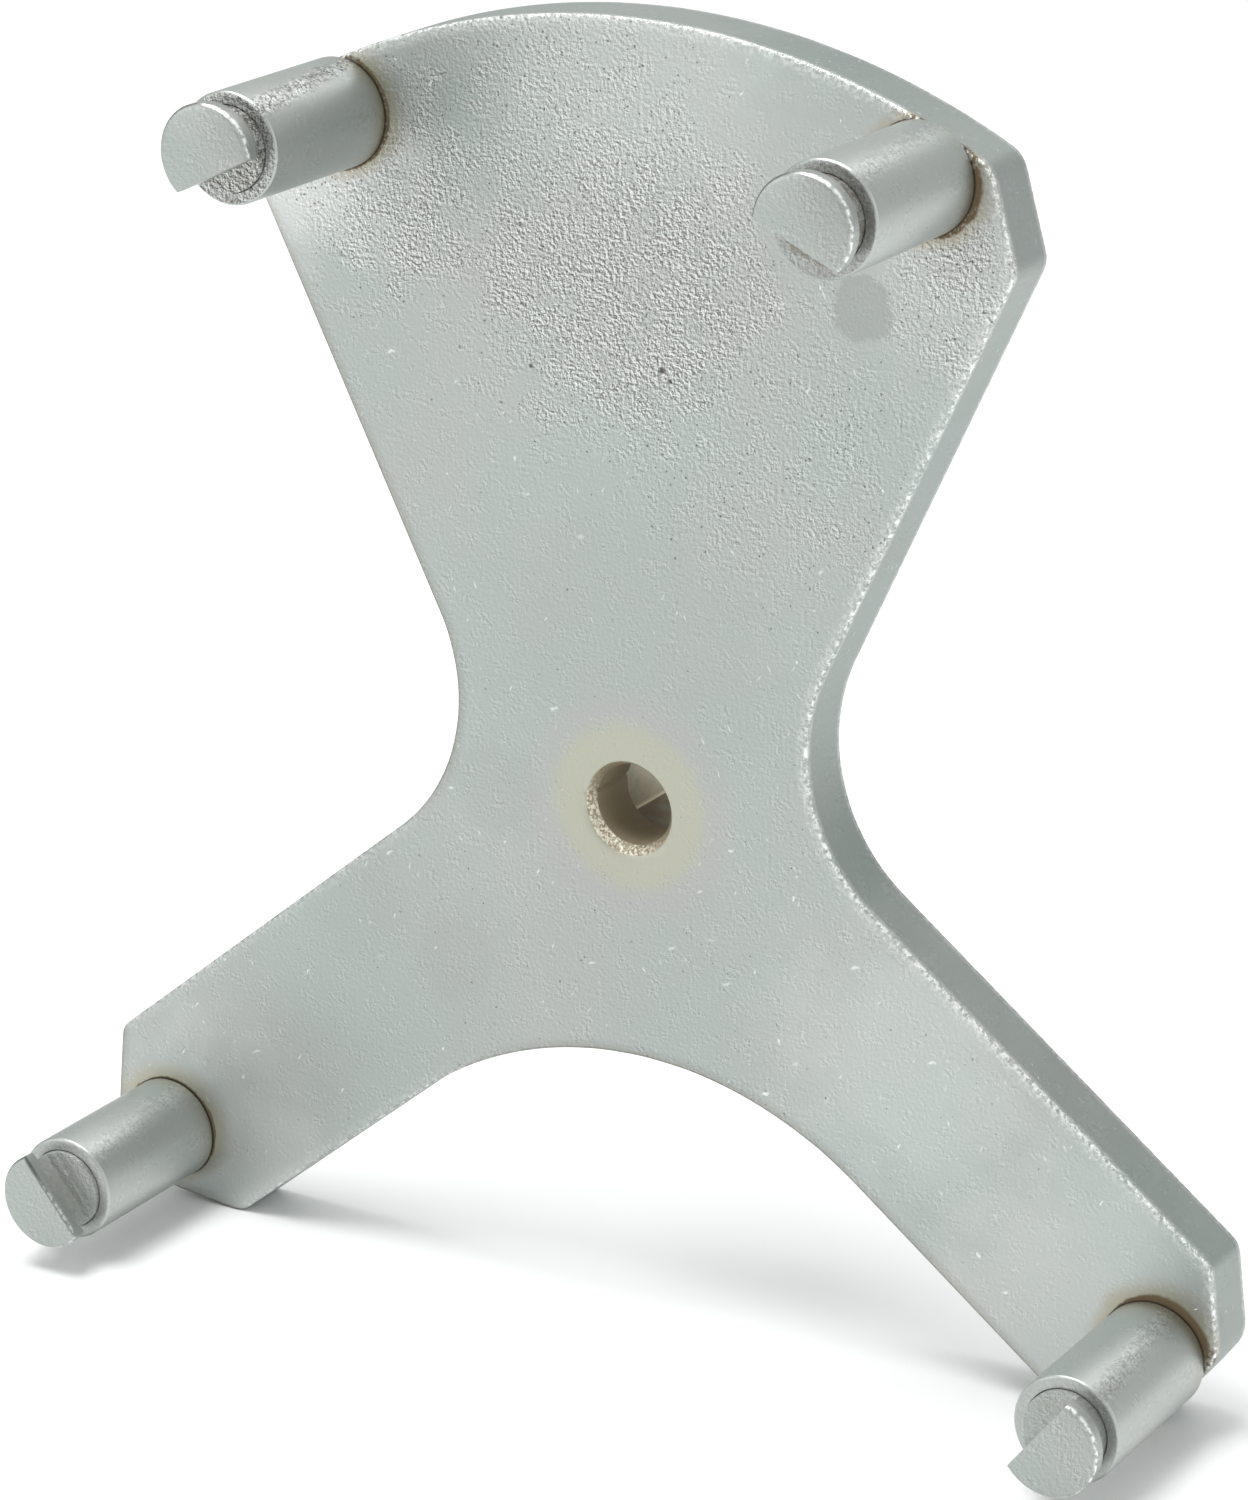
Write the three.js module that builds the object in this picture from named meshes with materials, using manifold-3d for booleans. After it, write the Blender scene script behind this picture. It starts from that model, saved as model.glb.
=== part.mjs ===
// Four-pin lock ring wrench: a flat spider plate with four headed pins in spacer sleeves on its front
// face, and a square-drive hub welded to its back. The wrench stands on its two arms with its wide
// sector on top and its pins towards -Y. Units are millimetres and degrees, with the origin at the
// bottom centre of the bounding box. Each piece is made lying flat, with the drive axis on Z, the
// hub's open end at 0 and the sector towards +Y, and the whole wrench is stood up at the end.
import * as THREE from "three";
import { mergeVertices } from "three/addons/utils/BufferGeometryUtils.js";
import Module from "manifold-3d";

// Pin pattern: the ring has its slots at equal steps, and the wrench uses four of them.
const RING_SLOTS = 7;
const PIN_CIRCLE_RADIUS = 67;

// Spider plate.
const PLATE_THICKNESS = 6.3;
const RIM_MARGIN = 4.4; // from the pins' axes to the rim
const RIM_RADIUS = PIN_CIRCLE_RADIUS + RIM_MARGIN;
// Each end of the spider keeps a half width beside a pin's radial line, up to a corner cut of some
// depth below the rim, and the cut leaves a land on the rim.
const SECTOR_END = { halfWidth: 11.2, cutDepth: 7.2, land: 10.4 };
const ARM_END = { halfWidth: 10.7, cutDepth: 6.1, land: 9.3 };
const WAIST_RADIUS = 17.5; // between an arm and the sector
const CROTCH_RADIUS = 36.9; // between the two arms
const RIM_EASE = 1.3; // how far the rounding of a corner reaches along its two sides
const SIDE_EASE = 0.9;
const PLATE_EDGE = 0.3;

// Centre bore of the plate, with the axial line where the cutting beam ran in.
const BORE_DIAMETER = 7.6;
const BORE_CHAMFER_WIDTH = 0.7;
const BORE_CHAMFER_DEPTH = 0.9;
const RUN_IN_WIDTH = 0.5;
const RUN_IN_ANGLE = 169;

// Square-drive hub.
const DRIVE_SQUARE = 9.6; // across flats, for a 9.53 mm (3/8 inch) drive
const DRIVE_TURN = -7.5; // how far the square is turned against the plate
const DRIVE_LEAD_IN = 0.6;
const DETENT_DIAMETER = 3.6;
const DETENT_DEPTH = 0.8;
const DETENT_HEIGHT = 5.5; // from the hub's open end to the detents' centres
const HUB_DIAMETER = 20;
const HUB_LENGTH = 12;
const HUB_CHAMFER = 0.8;
const HUB_WELD_LEG = 2.8;

// Spacer sleeves.
const SLEEVE_DIAMETER = 10;
const SLEEVE_LENGTH = 17;
const SLEEVE_END_CHAMFER = 0.2;
const SLEEVE_FOOT_CHAMFER = 0.15;

// Headed pins.
const SHANK_DIAMETER = 7.6;
const SPIGOT_DIAMETER = 5.4;
const NECK_LENGTH = 2.2; // from the sleeve's end to the head
const HEAD_DIAMETER = 9.2;
const HEAD_THICKNESS = 1.6;
const HEAD_CHAMFER_WIDTH = 0.5;
const HEAD_CHAMFER_HEIGHT = 0.3;
const HEAD_BACK_CHAMFER = 0.15;
const LEDGE_HEIGHT = 0.85; // above the sleeve's end, at the foot of the flat
const LEDGE_WIDTH = 0.8;
const STEP_HEIGHT = 0.45; // above the sleeve's end, beyond the ledge
const FIT_CLEARANCE = 0.05; // on the radius, between a pin and its sleeve or its hole in the plate
const PIN_WELD_OVERLAP = 1.4; // how far a back weld reaches past its spigot
const PIN_WELD_HEIGHT = 0.9;

// Facets.
const ROUND_STEPS = 40;
const DETENT_STEPS = 16;
const OUTLINE_STEPS = 12;
const WELD_STEPS = 5;

const STEP_ANGLE = 360 / RING_SLOTS;
const PIN_PLACES = [
  { place: "sector_left", angle: 90 + STEP_ANGLE / 2, end: SECTOR_END, flatOffset: 1.8 },
  { place: "sector_right", angle: 90 - STEP_ANGLE / 2, end: SECTOR_END, flatOffset: 1.5 },
  { place: "arm_right", angle: 90 - 2.5 * STEP_ANGLE, end: ARM_END, flatOffset: 1.3 },
  { place: "arm_left", angle: 90 + 2.5 * STEP_ANGLE, end: ARM_END, flatOffset: 1.0 },
];

const HUB_TOP = HUB_LENGTH;
const PLATE_TOP = HUB_TOP + PLATE_THICKNESS;
const PIN_TOP = SLEEVE_LENGTH + NECK_LENGTH + HEAD_THICKNESS; // above the plate's front face
const BEYOND = 1; // how far a cutter passes the face that it cuts through

const STEEL = { color: 0xb2bcb7, roughness: 0.42, metalness: 0.9 };
const BRIGHT_STEEL = { color: 0xbac0bc, roughness: 0.36, metalness: 0.9 };
const WELD_METAL = { color: 0x8b8a80, roughness: 0.6, metalness: 0.8 };

const wasm = await Module();
wasm.setup();

const radians = THREE.MathUtils.degToRad;

function polar(radius, angle) {
  return new THREE.Vector2(
    radius * Math.cos(radians(angle)),
    radius * Math.sin(radians(angle)),
  );
}

// A point given along an arm from the drive axis, and across it to its left.
function onArm(armAngle, along, across) {
  return polar(along, armAngle).add(polar(across, armAngle + 90));
}

// A closed geometry as a solid for cutting and joining.
function solidOf(geometry) {
  const bare = geometry.clone();
  bare.deleteAttribute("normal");
  bare.deleteAttribute("uv");
  const merged = mergeVertices(bare);
  return new wasm.Manifold(
    new wasm.Mesh({
      numProp: 3,
      vertProperties: merged.attributes.position.array,
      triVerts: new Uint32Array(merged.index.array),
    }),
  );
}

function geometryOf(solid) {
  const mesh = solid.getMesh();
  const geometry = new THREE.BufferGeometry();
  geometry.setAttribute("position", new THREE.BufferAttribute(mesh.vertProperties, 3));
  geometry.setIndex(new THREE.BufferAttribute(mesh.triVerts, 1));
  geometry.computeVertexNormals();
  return geometry;
}

// A body turned about Z from a profile of [radius, height] points that go round it anticlockwise.
function turned(profile, steps = ROUND_STEPS) {
  const points = profile.map(([radius, height]) => new THREE.Vector2(radius, height));
  return new THREE.LatheGeometry(points, steps).rotateX(Math.PI / 2);
}

function turnedRing(profile, steps = ROUND_STEPS) {
  return turned([...profile, profile[0]], steps);
}

function namedMesh(name, geometry, look) {
  const mesh = new THREE.Mesh(geometry, new THREE.MeshStandardMaterial(look));
  mesh.name = name;
  return mesh;
}

// The hollow between the left side of one pin's end and the right side of the next one round.
function addHollow(outline, pin, next, turns, radius) {
  const between = radians(next.angle + 360 * turns - pin.angle);
  const across = pin.end.halfWidth + radius;
  const nextAcross = next.end.halfWidth + radius;
  const along = (nextAcross + across * Math.cos(between)) / Math.sin(between);
  const centre = onArm(pin.angle, along, across);
  outline.absarc(centre.x, centre.y, radius, radians(pin.angle - 90), radians(next.angle + 90), true);
}

// The two corners beside a pin, on its left (side 1) or its right (side -1): one on the rim and one
// on the side of the end.
function endCorners({ angle, end }, side) {
  const rimAngle = angle + (side * THREE.MathUtils.radToDeg(Math.asin(end.land / 2 / RIM_RADIUS)));
  return {
    rimAngle,
    rim: polar(RIM_RADIUS, rimAngle),
    flank: onArm(angle, RIM_RADIUS - end.cutDepth, side * end.halfWidth),
    inward: polar(-1, angle),
  };
}

function towards(from, to, distance) {
  return from.clone().add(to.clone().sub(from).setLength(distance));
}

function roundCorner(outline, before, corner, after) {
  outline.lineTo(before.x, before.y);
  outline.quadraticCurveTo(corner.x, corner.y, after.x, after.y);
}

// The outline of the spider: two arms and a sector, each ending in corner cuts at the rim.
function spiderOutline() {
  const [sectorLeft, sectorRight, armRight, armLeft] = PIN_PLACES;
  const easeAngle = THREE.MathUtils.radToDeg(RIM_EASE / RIM_RADIUS);
  const outline = new THREE.Shape();
  const endPieces = [
    { right: armRight, left: armRight, next: sectorRight, turns: 0, hollow: WAIST_RADIUS },
    { right: sectorRight, left: sectorLeft, next: armLeft, turns: 0, hollow: WAIST_RADIUS },
    { right: armLeft, left: armLeft, next: armRight, turns: 1, hollow: CROTCH_RADIUS },
  ];
  for (const { right, left, next, turns, hollow } of endPieces) {
    const first = endCorners(right, -1);
    const last = endCorners(left, 1);
    const beyond = endCorners(next, -1);
    const from = radians(first.rimAngle + easeAngle);
    const to = radians(last.rimAngle - easeAngle);
    outline.absarc(0, 0, RIM_RADIUS, from, to, false);
    const leaving = last.flank.clone().addScaledVector(last.inward, SIDE_EASE);
    const arriving = beyond.flank.clone().addScaledVector(beyond.inward, SIDE_EASE);
    const onRim = polar(RIM_RADIUS, beyond.rimAngle + easeAngle);
    roundCorner(outline, polar(RIM_RADIUS, last.rimAngle - easeAngle), last.rim,
      towards(last.rim, last.flank, RIM_EASE));
    roundCorner(outline, towards(last.flank, last.rim, SIDE_EASE), last.flank, leaving);
    addHollow(outline, left, next, turns, hollow);
    roundCorner(outline, arriving, beyond.flank, towards(beyond.flank, beyond.rim, SIDE_EASE));
    roundCorner(outline, towards(beyond.rim, beyond.flank, RIM_EASE), beyond.rim, onRim);
  }
  return outline;
}

function plateBlank() {
  const blank = new THREE.ExtrudeGeometry(spiderOutline(), {
    depth: PLATE_THICKNESS - 2 * PLATE_EDGE,
    curveSegments: OUTLINE_STEPS,
    bevelThickness: PLATE_EDGE,
    bevelSize: PLATE_EDGE,
    bevelOffset: -PLATE_EDGE,
    bevelSegments: 1,
  });
  return blank.translate(0, 0, HUB_TOP + PLATE_EDGE);
}

// Cuts the centre bore with its front chamfer.
function boreCutter() {
  const radius = BORE_DIAMETER / 2;
  const mouth = radius + BORE_CHAMFER_WIDTH;
  return turned([
    [0, HUB_TOP - BEYOND],
    [radius, HUB_TOP - BEYOND],
    [radius, PLATE_TOP - BORE_CHAMFER_DEPTH],
    [mouth, PLATE_TOP],
    [mouth, PLATE_TOP + BEYOND],
    [0, PLATE_TOP + BEYOND],
  ]);
}

function runInCutter() {
  const wall = polar(BORE_DIAMETER / 2, RUN_IN_ANGLE);
  const height = PLATE_THICKNESS + 2 * BEYOND;
  return new THREE.CylinderGeometry(RUN_IN_WIDTH / 2, RUN_IN_WIDTH / 2, height, DETENT_STEPS)
    .rotateX(Math.PI / 2)
    .translate(wall.x, wall.y, HUB_TOP + PLATE_THICKNESS / 2);
}

function spigotHoleCutter(angle) {
  const radius = SPIGOT_DIAMETER / 2 + FIT_CLEARANCE;
  const axis = polar(PIN_CIRCLE_RADIUS, angle);
  return turned([
    [0, HUB_TOP - BEYOND],
    [radius, HUB_TOP - BEYOND],
    [radius, PLATE_TOP + BEYOND],
    [0, PLATE_TOP + BEYOND],
  ])
    .rotateZ(radians(angle))
    .translate(axis.x, axis.y, 0);
}

function spiderPlate() {
  let plate = solidOf(plateBlank());
  const cutters = [boreCutter(), runInCutter(), ...PIN_PLACES.map((pin) => spigotHoleCutter(pin.angle))];
  for (const cutter of cutters) plate = plate.subtract(solidOf(cutter));
  return namedMesh("spider_plate", geometryOf(plate), STEEL);
}

// The square hole, with its slanted lead-in at the open end of the hub.
function driveCutters() {
  const square = new THREE.BoxGeometry(DRIVE_SQUARE, DRIVE_SQUARE, HUB_LENGTH + 2 * BEYOND);
  square.translate(0, 0, HUB_LENGTH / 2);
  const cornerRadius = (side) => side / Math.SQRT2;
  const depth = DRIVE_LEAD_IN + BEYOND;
  const leadIn = new THREE.CylinderGeometry(
    cornerRadius(DRIVE_SQUARE),
    cornerRadius(DRIVE_SQUARE + 2 * depth),
    depth,
    4,
  );
  leadIn.rotateX(Math.PI / 2).rotateZ(Math.PI / 4).translate(0, 0, DRIVE_LEAD_IN - depth / 2);
  return [square, leadIn].map((cutter) => cutter.rotateZ(radians(DRIVE_TURN)));
}

// A round recess in one wall of the square hole, for the drive's spring ball.
function detentCutter(turn) {
  const reach = DRIVE_SQUARE / 2 + DETENT_DEPTH;
  const radius = DETENT_DIAMETER / 2;
  return new THREE.CylinderGeometry(radius, radius, reach, DETENT_STEPS)
    .rotateZ(Math.PI / 2)
    .translate(reach / 2, 0, DETENT_HEIGHT)
    .rotateZ(radians(DRIVE_TURN + turn));
}

function driveHub() {
  const radius = HUB_DIAMETER / 2;
  let hub = solidOf(
    turned([
      [0, 0],
      [radius - HUB_CHAMFER, 0],
      [radius, HUB_CHAMFER],
      [radius, HUB_TOP],
      [0, HUB_TOP],
    ]),
  );
  const cutters = [...driveCutters(), ...[0, 90, 180, 270].map(detentCutter)];
  for (const cutter of cutters) hub = hub.subtract(solidOf(cutter));
  return namedMesh("drive_hub", geometryOf(hub), STEEL);
}

// The fillet weld round the hub, a little crowned.
function hubWeld() {
  const inner = HUB_DIAMETER / 2 + FIT_CLEARANCE;
  const profile = [[inner, HUB_TOP]];
  for (let step = 0; step <= WELD_STEPS; step += 1) {
    const angle = (90 * step) / WELD_STEPS;
    const crown = 1 - 0.22 * Math.sin(radians(2 * angle));
    const out = HUB_WELD_LEG * Math.sin(radians(angle)) * crown;
    const down = HUB_WELD_LEG * Math.cos(radians(angle)) * crown;
    profile.push([inner + out, HUB_TOP - down]);
  }
  return namedMesh("hub_weld", turnedRing(profile), WELD_METAL);
}

function sleeveGeometry() {
  const outer = SLEEVE_DIAMETER / 2;
  const inner = SHANK_DIAMETER / 2 + FIT_CLEARANCE;
  return turnedRing([
    [inner, 0],
    [outer - SLEEVE_FOOT_CHAMFER, 0],
    [outer, SLEEVE_FOOT_CHAMFER],
    [outer, SLEEVE_LENGTH - SLEEVE_END_CHAMFER],
    [outer - SLEEVE_END_CHAMFER, SLEEVE_LENGTH],
    [inner, SLEEVE_LENGTH],
  ]);
}

function pinBlank() {
  const shank = SHANK_DIAMETER / 2;
  const spigot = SPIGOT_DIAMETER / 2;
  const head = HEAD_DIAMETER / 2;
  const headBack = SLEEVE_LENGTH + NECK_LENGTH;
  return turned([
    [0, -PLATE_THICKNESS],
    [spigot, -PLATE_THICKNESS],
    [spigot, 0],
    [shank, 0],
    [shank, headBack],
    [head - HEAD_BACK_CHAMFER, headBack],
    [head, headBack + HEAD_BACK_CHAMFER],
    [head, PIN_TOP - HEAD_CHAMFER_HEIGHT],
    [head - HEAD_CHAMFER_WIDTH, PIN_TOP],
    [0, PIN_TOP],
  ]);
}

// Removes what lies nearer the hub than an offset from the pin's axis, above a height.
function flatCutter(offset, height) {
  const width = HEAD_DIAMETER;
  const tall = PIN_TOP - height + BEYOND;
  return new THREE.BoxGeometry(width, 2 * width, tall).translate(-offset - width / 2, 0, height + tall / 2);
}

function headedPinGeometry(flatOffset) {
  const flat = solidOf(flatCutter(flatOffset, SLEEVE_LENGTH + LEDGE_HEIGHT));
  const step = solidOf(flatCutter(flatOffset + LEDGE_WIDTH, SLEEVE_LENGTH + STEP_HEIGHT));
  return geometryOf(solidOf(pinBlank()).subtract(flat).subtract(step));
}

// The round weld that closes a spigot's hole on the back of the plate.
function pinWeldGeometry() {
  const radius = SPIGOT_DIAMETER / 2 + PIN_WELD_OVERLAP;
  const profile = [];
  for (let step = 0; step <= WELD_STEPS; step += 1) {
    const angle = (90 * step) / WELD_STEPS;
    const out = radius * Math.sin(radians(angle));
    const down = PIN_WELD_HEIGHT * Math.cos(radians(angle));
    profile.push([out, -PLATE_THICKNESS - down]);
  }
  profile.push([0, -PLATE_THICKNESS]);
  return turned(profile);
}

// One pin with its sleeve and its weld, standing on the plate with its flat towards the hub.
function pinGroup({ place, angle, flatOffset }) {
  const group = new THREE.Group();
  group.add(
    namedMesh(`sleeve_${place}`, sleeveGeometry(), BRIGHT_STEEL),
    namedMesh(`headed_pin_${place}`, headedPinGeometry(flatOffset), BRIGHT_STEEL),
    namedMesh(`pin_weld_${place}`, pinWeldGeometry(), WELD_METAL),
  );
  const axis = polar(PIN_CIRCLE_RADIUS, angle);
  group.position.set(axis.x, axis.y, PLATE_TOP);
  group.rotation.z = radians(angle);
  return group;
}

// Stands the wrench up, with the bottom centre of its bounding box on the origin.
function standUp(group) {
  group.rotation.x = Math.PI / 2;
  const box = new THREE.Box3().setFromObject(group, true);
  group.position.set(0, -(box.min.y + box.max.y) / 2, -box.min.z);
}

const wrench = new THREE.Group();
wrench.add(spiderPlate(), driveHub(), hubWeld(), ...PIN_PLACES.map(pinGroup));
standUp(wrench);

export default wrench;
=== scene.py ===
"""Looks of a four-pin lock ring wrench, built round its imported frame.

Everything is in metres. The wrench stands on its two arms with its plate across X and Z. The drive
axis runs along Y, and the pins point out of the plate's front face, towards -Y.
"""

import logging
import math
from collections.abc import Iterable, Sequence
from dataclasses import dataclass, field
from enum import Enum
from functools import reduce
from operator import add, or_

import bmesh
import bpy
from mathutils import Matrix, Vector, noise


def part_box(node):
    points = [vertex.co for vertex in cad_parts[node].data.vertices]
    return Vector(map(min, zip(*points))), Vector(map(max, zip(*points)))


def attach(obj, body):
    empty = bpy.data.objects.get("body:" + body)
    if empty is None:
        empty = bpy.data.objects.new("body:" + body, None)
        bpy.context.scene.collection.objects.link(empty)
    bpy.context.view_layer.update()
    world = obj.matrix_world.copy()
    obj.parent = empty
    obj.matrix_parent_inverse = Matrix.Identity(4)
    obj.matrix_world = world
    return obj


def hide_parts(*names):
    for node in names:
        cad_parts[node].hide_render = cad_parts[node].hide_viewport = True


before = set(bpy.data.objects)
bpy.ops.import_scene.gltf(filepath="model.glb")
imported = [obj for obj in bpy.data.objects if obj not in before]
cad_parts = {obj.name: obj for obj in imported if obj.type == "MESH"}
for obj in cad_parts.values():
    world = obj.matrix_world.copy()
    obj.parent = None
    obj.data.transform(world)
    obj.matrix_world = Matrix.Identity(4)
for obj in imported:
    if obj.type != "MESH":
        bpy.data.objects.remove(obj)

log = logging.getLogger("wrench")

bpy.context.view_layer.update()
BODY = "root"
MM = 0.001
MERGE = 2e-6
CAMERA_AIM = (-0.49 * MM, 5.34 * MM, 0.0)
SHARP_DEGREES = 40.0
CARVED_SHARP_DEGREES = 50.0
EASED_DEGREES = 30.0
EASING_STEPS = 3
Colour = tuple[float, float, float]


# Places


def polar(radius: float, angle: float) -> Vector:
    """Gives a flat point at a radius and an angle in degrees."""
    return Vector((radius * math.cos(math.radians(angle)), radius * math.sin(math.radians(angle))))


@dataclass(frozen=True)
class Datum:
    """Where something stands, as the point that its own across, up and out are measured from.

    Attributes:
        across: X of the point.
        up: Z of the point.
        face: Y of the plane that "out" is measured from, towards -Y.
    """

    across: float
    up: float
    face: float

    def point(self, across: float, up: float, out: float) -> Vector:
        """Gives a point in the world.

        Args:
            across: Distance along +X.
            up: Distance along +Z.
            out: Distance along -Y.

        Returns:
            The point in metres.
        """
        return Vector((self.across + across, self.face - out, self.up + up))

    @classmethod
    def at_node(cls, node: str, face: float) -> "Datum":
        """Makes the datum on the middle of a CAD node, on a given face."""
        low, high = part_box(node)
        return cls((low[0] + high[0]) / 2, (low[2] + high[2]) / 2, face)


class Place(Enum):
    """The four pins, by the ends of the spider that they stand on."""

    SECTOR_LEFT = "sector_left"
    SECTOR_RIGHT = "sector_right"
    ARM_RIGHT = "arm_right"
    ARM_LEFT = "arm_left"


# Meshes


def linked(name: str, data: bpy.types.ID) -> bpy.types.Object:
    """Makes an object of some data and links it to the scene."""
    piece = bpy.data.objects.new(name, data)
    bpy.context.scene.collection.objects.link(piece)
    return piece


def shaded(mesh: bpy.types.Mesh, sharp_degrees: float) -> None:
    """Shades a mesh as smooth, but for edges that turn by more than some degrees."""
    mesh.shade_smooth()
    mesh.set_sharp_from_angle(angle=math.radians(sharp_degrees))


class MeshDraft:
    """A mesh under construction, made of rings that are bridged and capped."""

    def __init__(self, layers: Sequence[str] = ()) -> None:
        """Starts an empty mesh with named float layers on its points."""
        self.bm = bmesh.new()
        self.layers = {name: self.bm.verts.layers.float.new(name) for name in layers}

    def ring(self, points: Iterable[Vector], **values: float | Sequence[float]) -> list[bmesh.types.BMVert]:
        """Adds a ring of points.

        Args:
            points: The points in order.
            **values: What each named layer holds on them, as one number or one for each point.

        Returns:
            The new vertices.
        """
        verts = [self.bm.verts.new(point) for point in points]
        for name, value in values.items():
            for index, vert in enumerate(verts):
                vert[self.layers[name]] = value[index] if isinstance(value, Sequence) else value
        return verts

    def bridge(self, first: Sequence[bmesh.types.BMVert], second: Sequence[bmesh.types.BMVert]) -> None:
        """Joins two closed rings with quads, or a ring and a single point with triangles."""
        if len(first) < len(second):
            first, second = second, first
        for index, vert in enumerate(first):
            following = first[(index + 1) % len(first)]
            if len(second) == 1:
                self.bm.faces.new((vert, following, second[0]))
            else:
                self.bm.faces.new((vert, following, second[(index + 1) % len(second)], second[index]))

    def loft(self, rings: Sequence[Sequence[bmesh.types.BMVert]]) -> None:
        """Bridges each ring with the next one."""
        for first, second in zip(rings, rings[1:]):
            self.bridge(first, second)

    def cap(self, loops: Sequence[Sequence[bmesh.types.BMVert]], normal: Vector) -> None:
        """Fills a flat face between an outer loop and the loops of its holes."""
        edges = []
        for loop in loops:
            for index, vert in enumerate(loop):
                following = loop[(index + 1) % len(loop)]
                edges.append(self.bm.edges.get((vert, following)) or self.bm.edges.new((vert, following)))
        bmesh.ops.triangle_fill(self.bm, use_beauty=True, edges=edges, normal=normal)

    def to_object(self, name: str, sharp_degrees: float = SHARP_DEGREES) -> bpy.types.Object:
        """Closes the draft and links it to the scene as an object.

        Args:
            name: The object's name.
            sharp_degrees: Edges that turn by more than this are shaded as sharp.

        Returns:
            The new object.
        """
        bmesh.ops.remove_doubles(self.bm, verts=self.bm.verts, dist=1e-7)
        bmesh.ops.recalc_face_normals(self.bm, faces=self.bm.faces)
        mesh = bpy.data.meshes.new(name)
        self.bm.to_mesh(mesh)
        self.bm.free()
        shaded(mesh, sharp_degrees)
        return linked(name, mesh)


def turned(
    name: str, datum: Datum, profile: Sequence[tuple[float, float]], steps: int = 128
) -> bpy.types.Object:
    """Makes a body turned about a datum's axis.

    Args:
        name: The object's name.
        datum: Where its axis stands.
        profile: Pairs of radius and distance out, from one end to the other. A closed ring repeats
            its first pair at its end, and a solid starts and ends on the axis.
        steps: How many facets go round.

    Returns:
        The new object.
    """
    draft = MeshDraft()
    rings = []
    for radius, out in profile:
        if radius == 0:
            rings.append(draft.ring([datum.point(0, 0, out)]))
            continue
        angles = [math.tau * step / steps for step in range(steps)]
        rings.append(draft.ring(
            datum.point(radius * math.cos(angle), radius * math.sin(angle), out) for angle in angles
        ))
    draft.loft(rings)
    return draft.to_object(name)


def block(name: str, corners: Sequence[Vector]) -> bpy.types.Object:
    """Makes a six-sided cutter from the four corners of one end and the four of the other."""
    draft = MeshDraft()
    near, far = draft.ring(corners[:4]), draft.ring(corners[4:])
    draft.bridge(near, far)
    draft.bm.faces.new(near)
    draft.bm.faces.new(far)
    return draft.to_object(name)


def applied(piece: bpy.types.Object, sharp_degrees: float = SHARP_DEGREES) -> bpy.types.Object:
    """Turns a piece's live modifiers into plain mesh.

    Args:
        piece: The piece, changed in place.
        sharp_degrees: Edges that turn by more than this are shaded as sharp.

    Returns:
        The same piece without modifiers.
    """
    graph = bpy.context.evaluated_depsgraph_get()
    mesh = bpy.data.meshes.new_from_object(piece.evaluated_get(graph))
    mesh.name = piece.name
    piece.modifiers.clear()
    piece.data = mesh
    shaded(mesh, sharp_degrees)
    return piece


def tidied(piece: bpy.types.Object) -> bpy.types.Object:
    """Welds stray points of a piece, drops its slivers and turns its normals outward."""
    shell = bmesh.new()
    shell.from_mesh(piece.data)
    bmesh.ops.remove_doubles(shell, verts=shell.verts, dist=MERGE)
    bmesh.ops.dissolve_degenerate(shell, edges=shell.edges, dist=MERGE)
    bmesh.ops.recalc_face_normals(shell, faces=shell.faces)
    shell.to_mesh(piece.data)
    shell.free()
    return piece


def carved(piece: bpy.types.Object, cutters: Sequence[bpy.types.Object], easing: float) -> bpy.types.Object:
    """Cuts a piece and eases its edges.

    Args:
        piece: The piece to cut.
        cutters: The solids to take away, removed afterwards.
        easing: How wide the rounding of each sharp edge is.

    Returns:
        The same piece, cut.
    """
    for cutter in cutters:
        cut = piece.modifiers.new(cutter.name, "BOOLEAN")
        cut.object = cutter
        cut.operation = "DIFFERENCE"
        cut.solver = "EXACT"
    applied(piece, CARVED_SHARP_DEGREES)
    for cutter in cutters:
        bpy.data.objects.remove(cutter)
    tidied(piece)
    ease = piece.modifiers.new("ease", "BEVEL")
    ease.width = easing
    ease.segments = EASING_STEPS
    ease.limit_method = "ANGLE"
    ease.angle_limit = math.radians(EASED_DEGREES)
    applied(piece, CARVED_SHARP_DEGREES)
    return tidied(piece)


# Nodes


class Wire:
    """One output of a node, which can be used in Python sums."""

    def __init__(self, bench: "NodeBench", socket: bpy.types.NodeSocket) -> None:
        """Wraps a socket of a bench's tree."""
        self.bench = bench
        self.socket = socket

    def __add__(self, other: "Number") -> "Wire":
        """Adds."""
        return self.bench.maths("ADD", self, other)

    __radd__ = __add__

    def __sub__(self, other: "Number") -> "Wire":
        """Subtracts a value."""
        return self.bench.maths("SUBTRACT", self, other)

    def __rsub__(self, other: float) -> "Wire":
        """Subtracts from a value."""
        return self.bench.maths("SUBTRACT", other, self)

    def __mul__(self, other: "Number") -> "Wire":
        """Multiplies."""
        return self.bench.maths("MULTIPLY", self, other)

    __rmul__ = __mul__

    def __truediv__(self, other: "Number") -> "Wire":
        """Divides by a value."""
        return self.bench.maths("DIVIDE", self, other)

    def __pow__(self, other: "Number") -> "Wire":
        """Raises to a power."""
        return self.bench.maths("POWER", self, other)

    def __or__(self, other: "Number") -> "Wire":
        """Takes the larger, which joins two masks."""
        return self.bench.maths("MAXIMUM", self, other)

    def __and__(self, other: "Number") -> "Wire":
        """Takes the smaller, which keeps what two masks share."""
        return self.bench.maths("MINIMUM", self, other)


Number = Wire | float
Paint = Wire | Colour
Point = Wire | Sequence[float]


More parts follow.
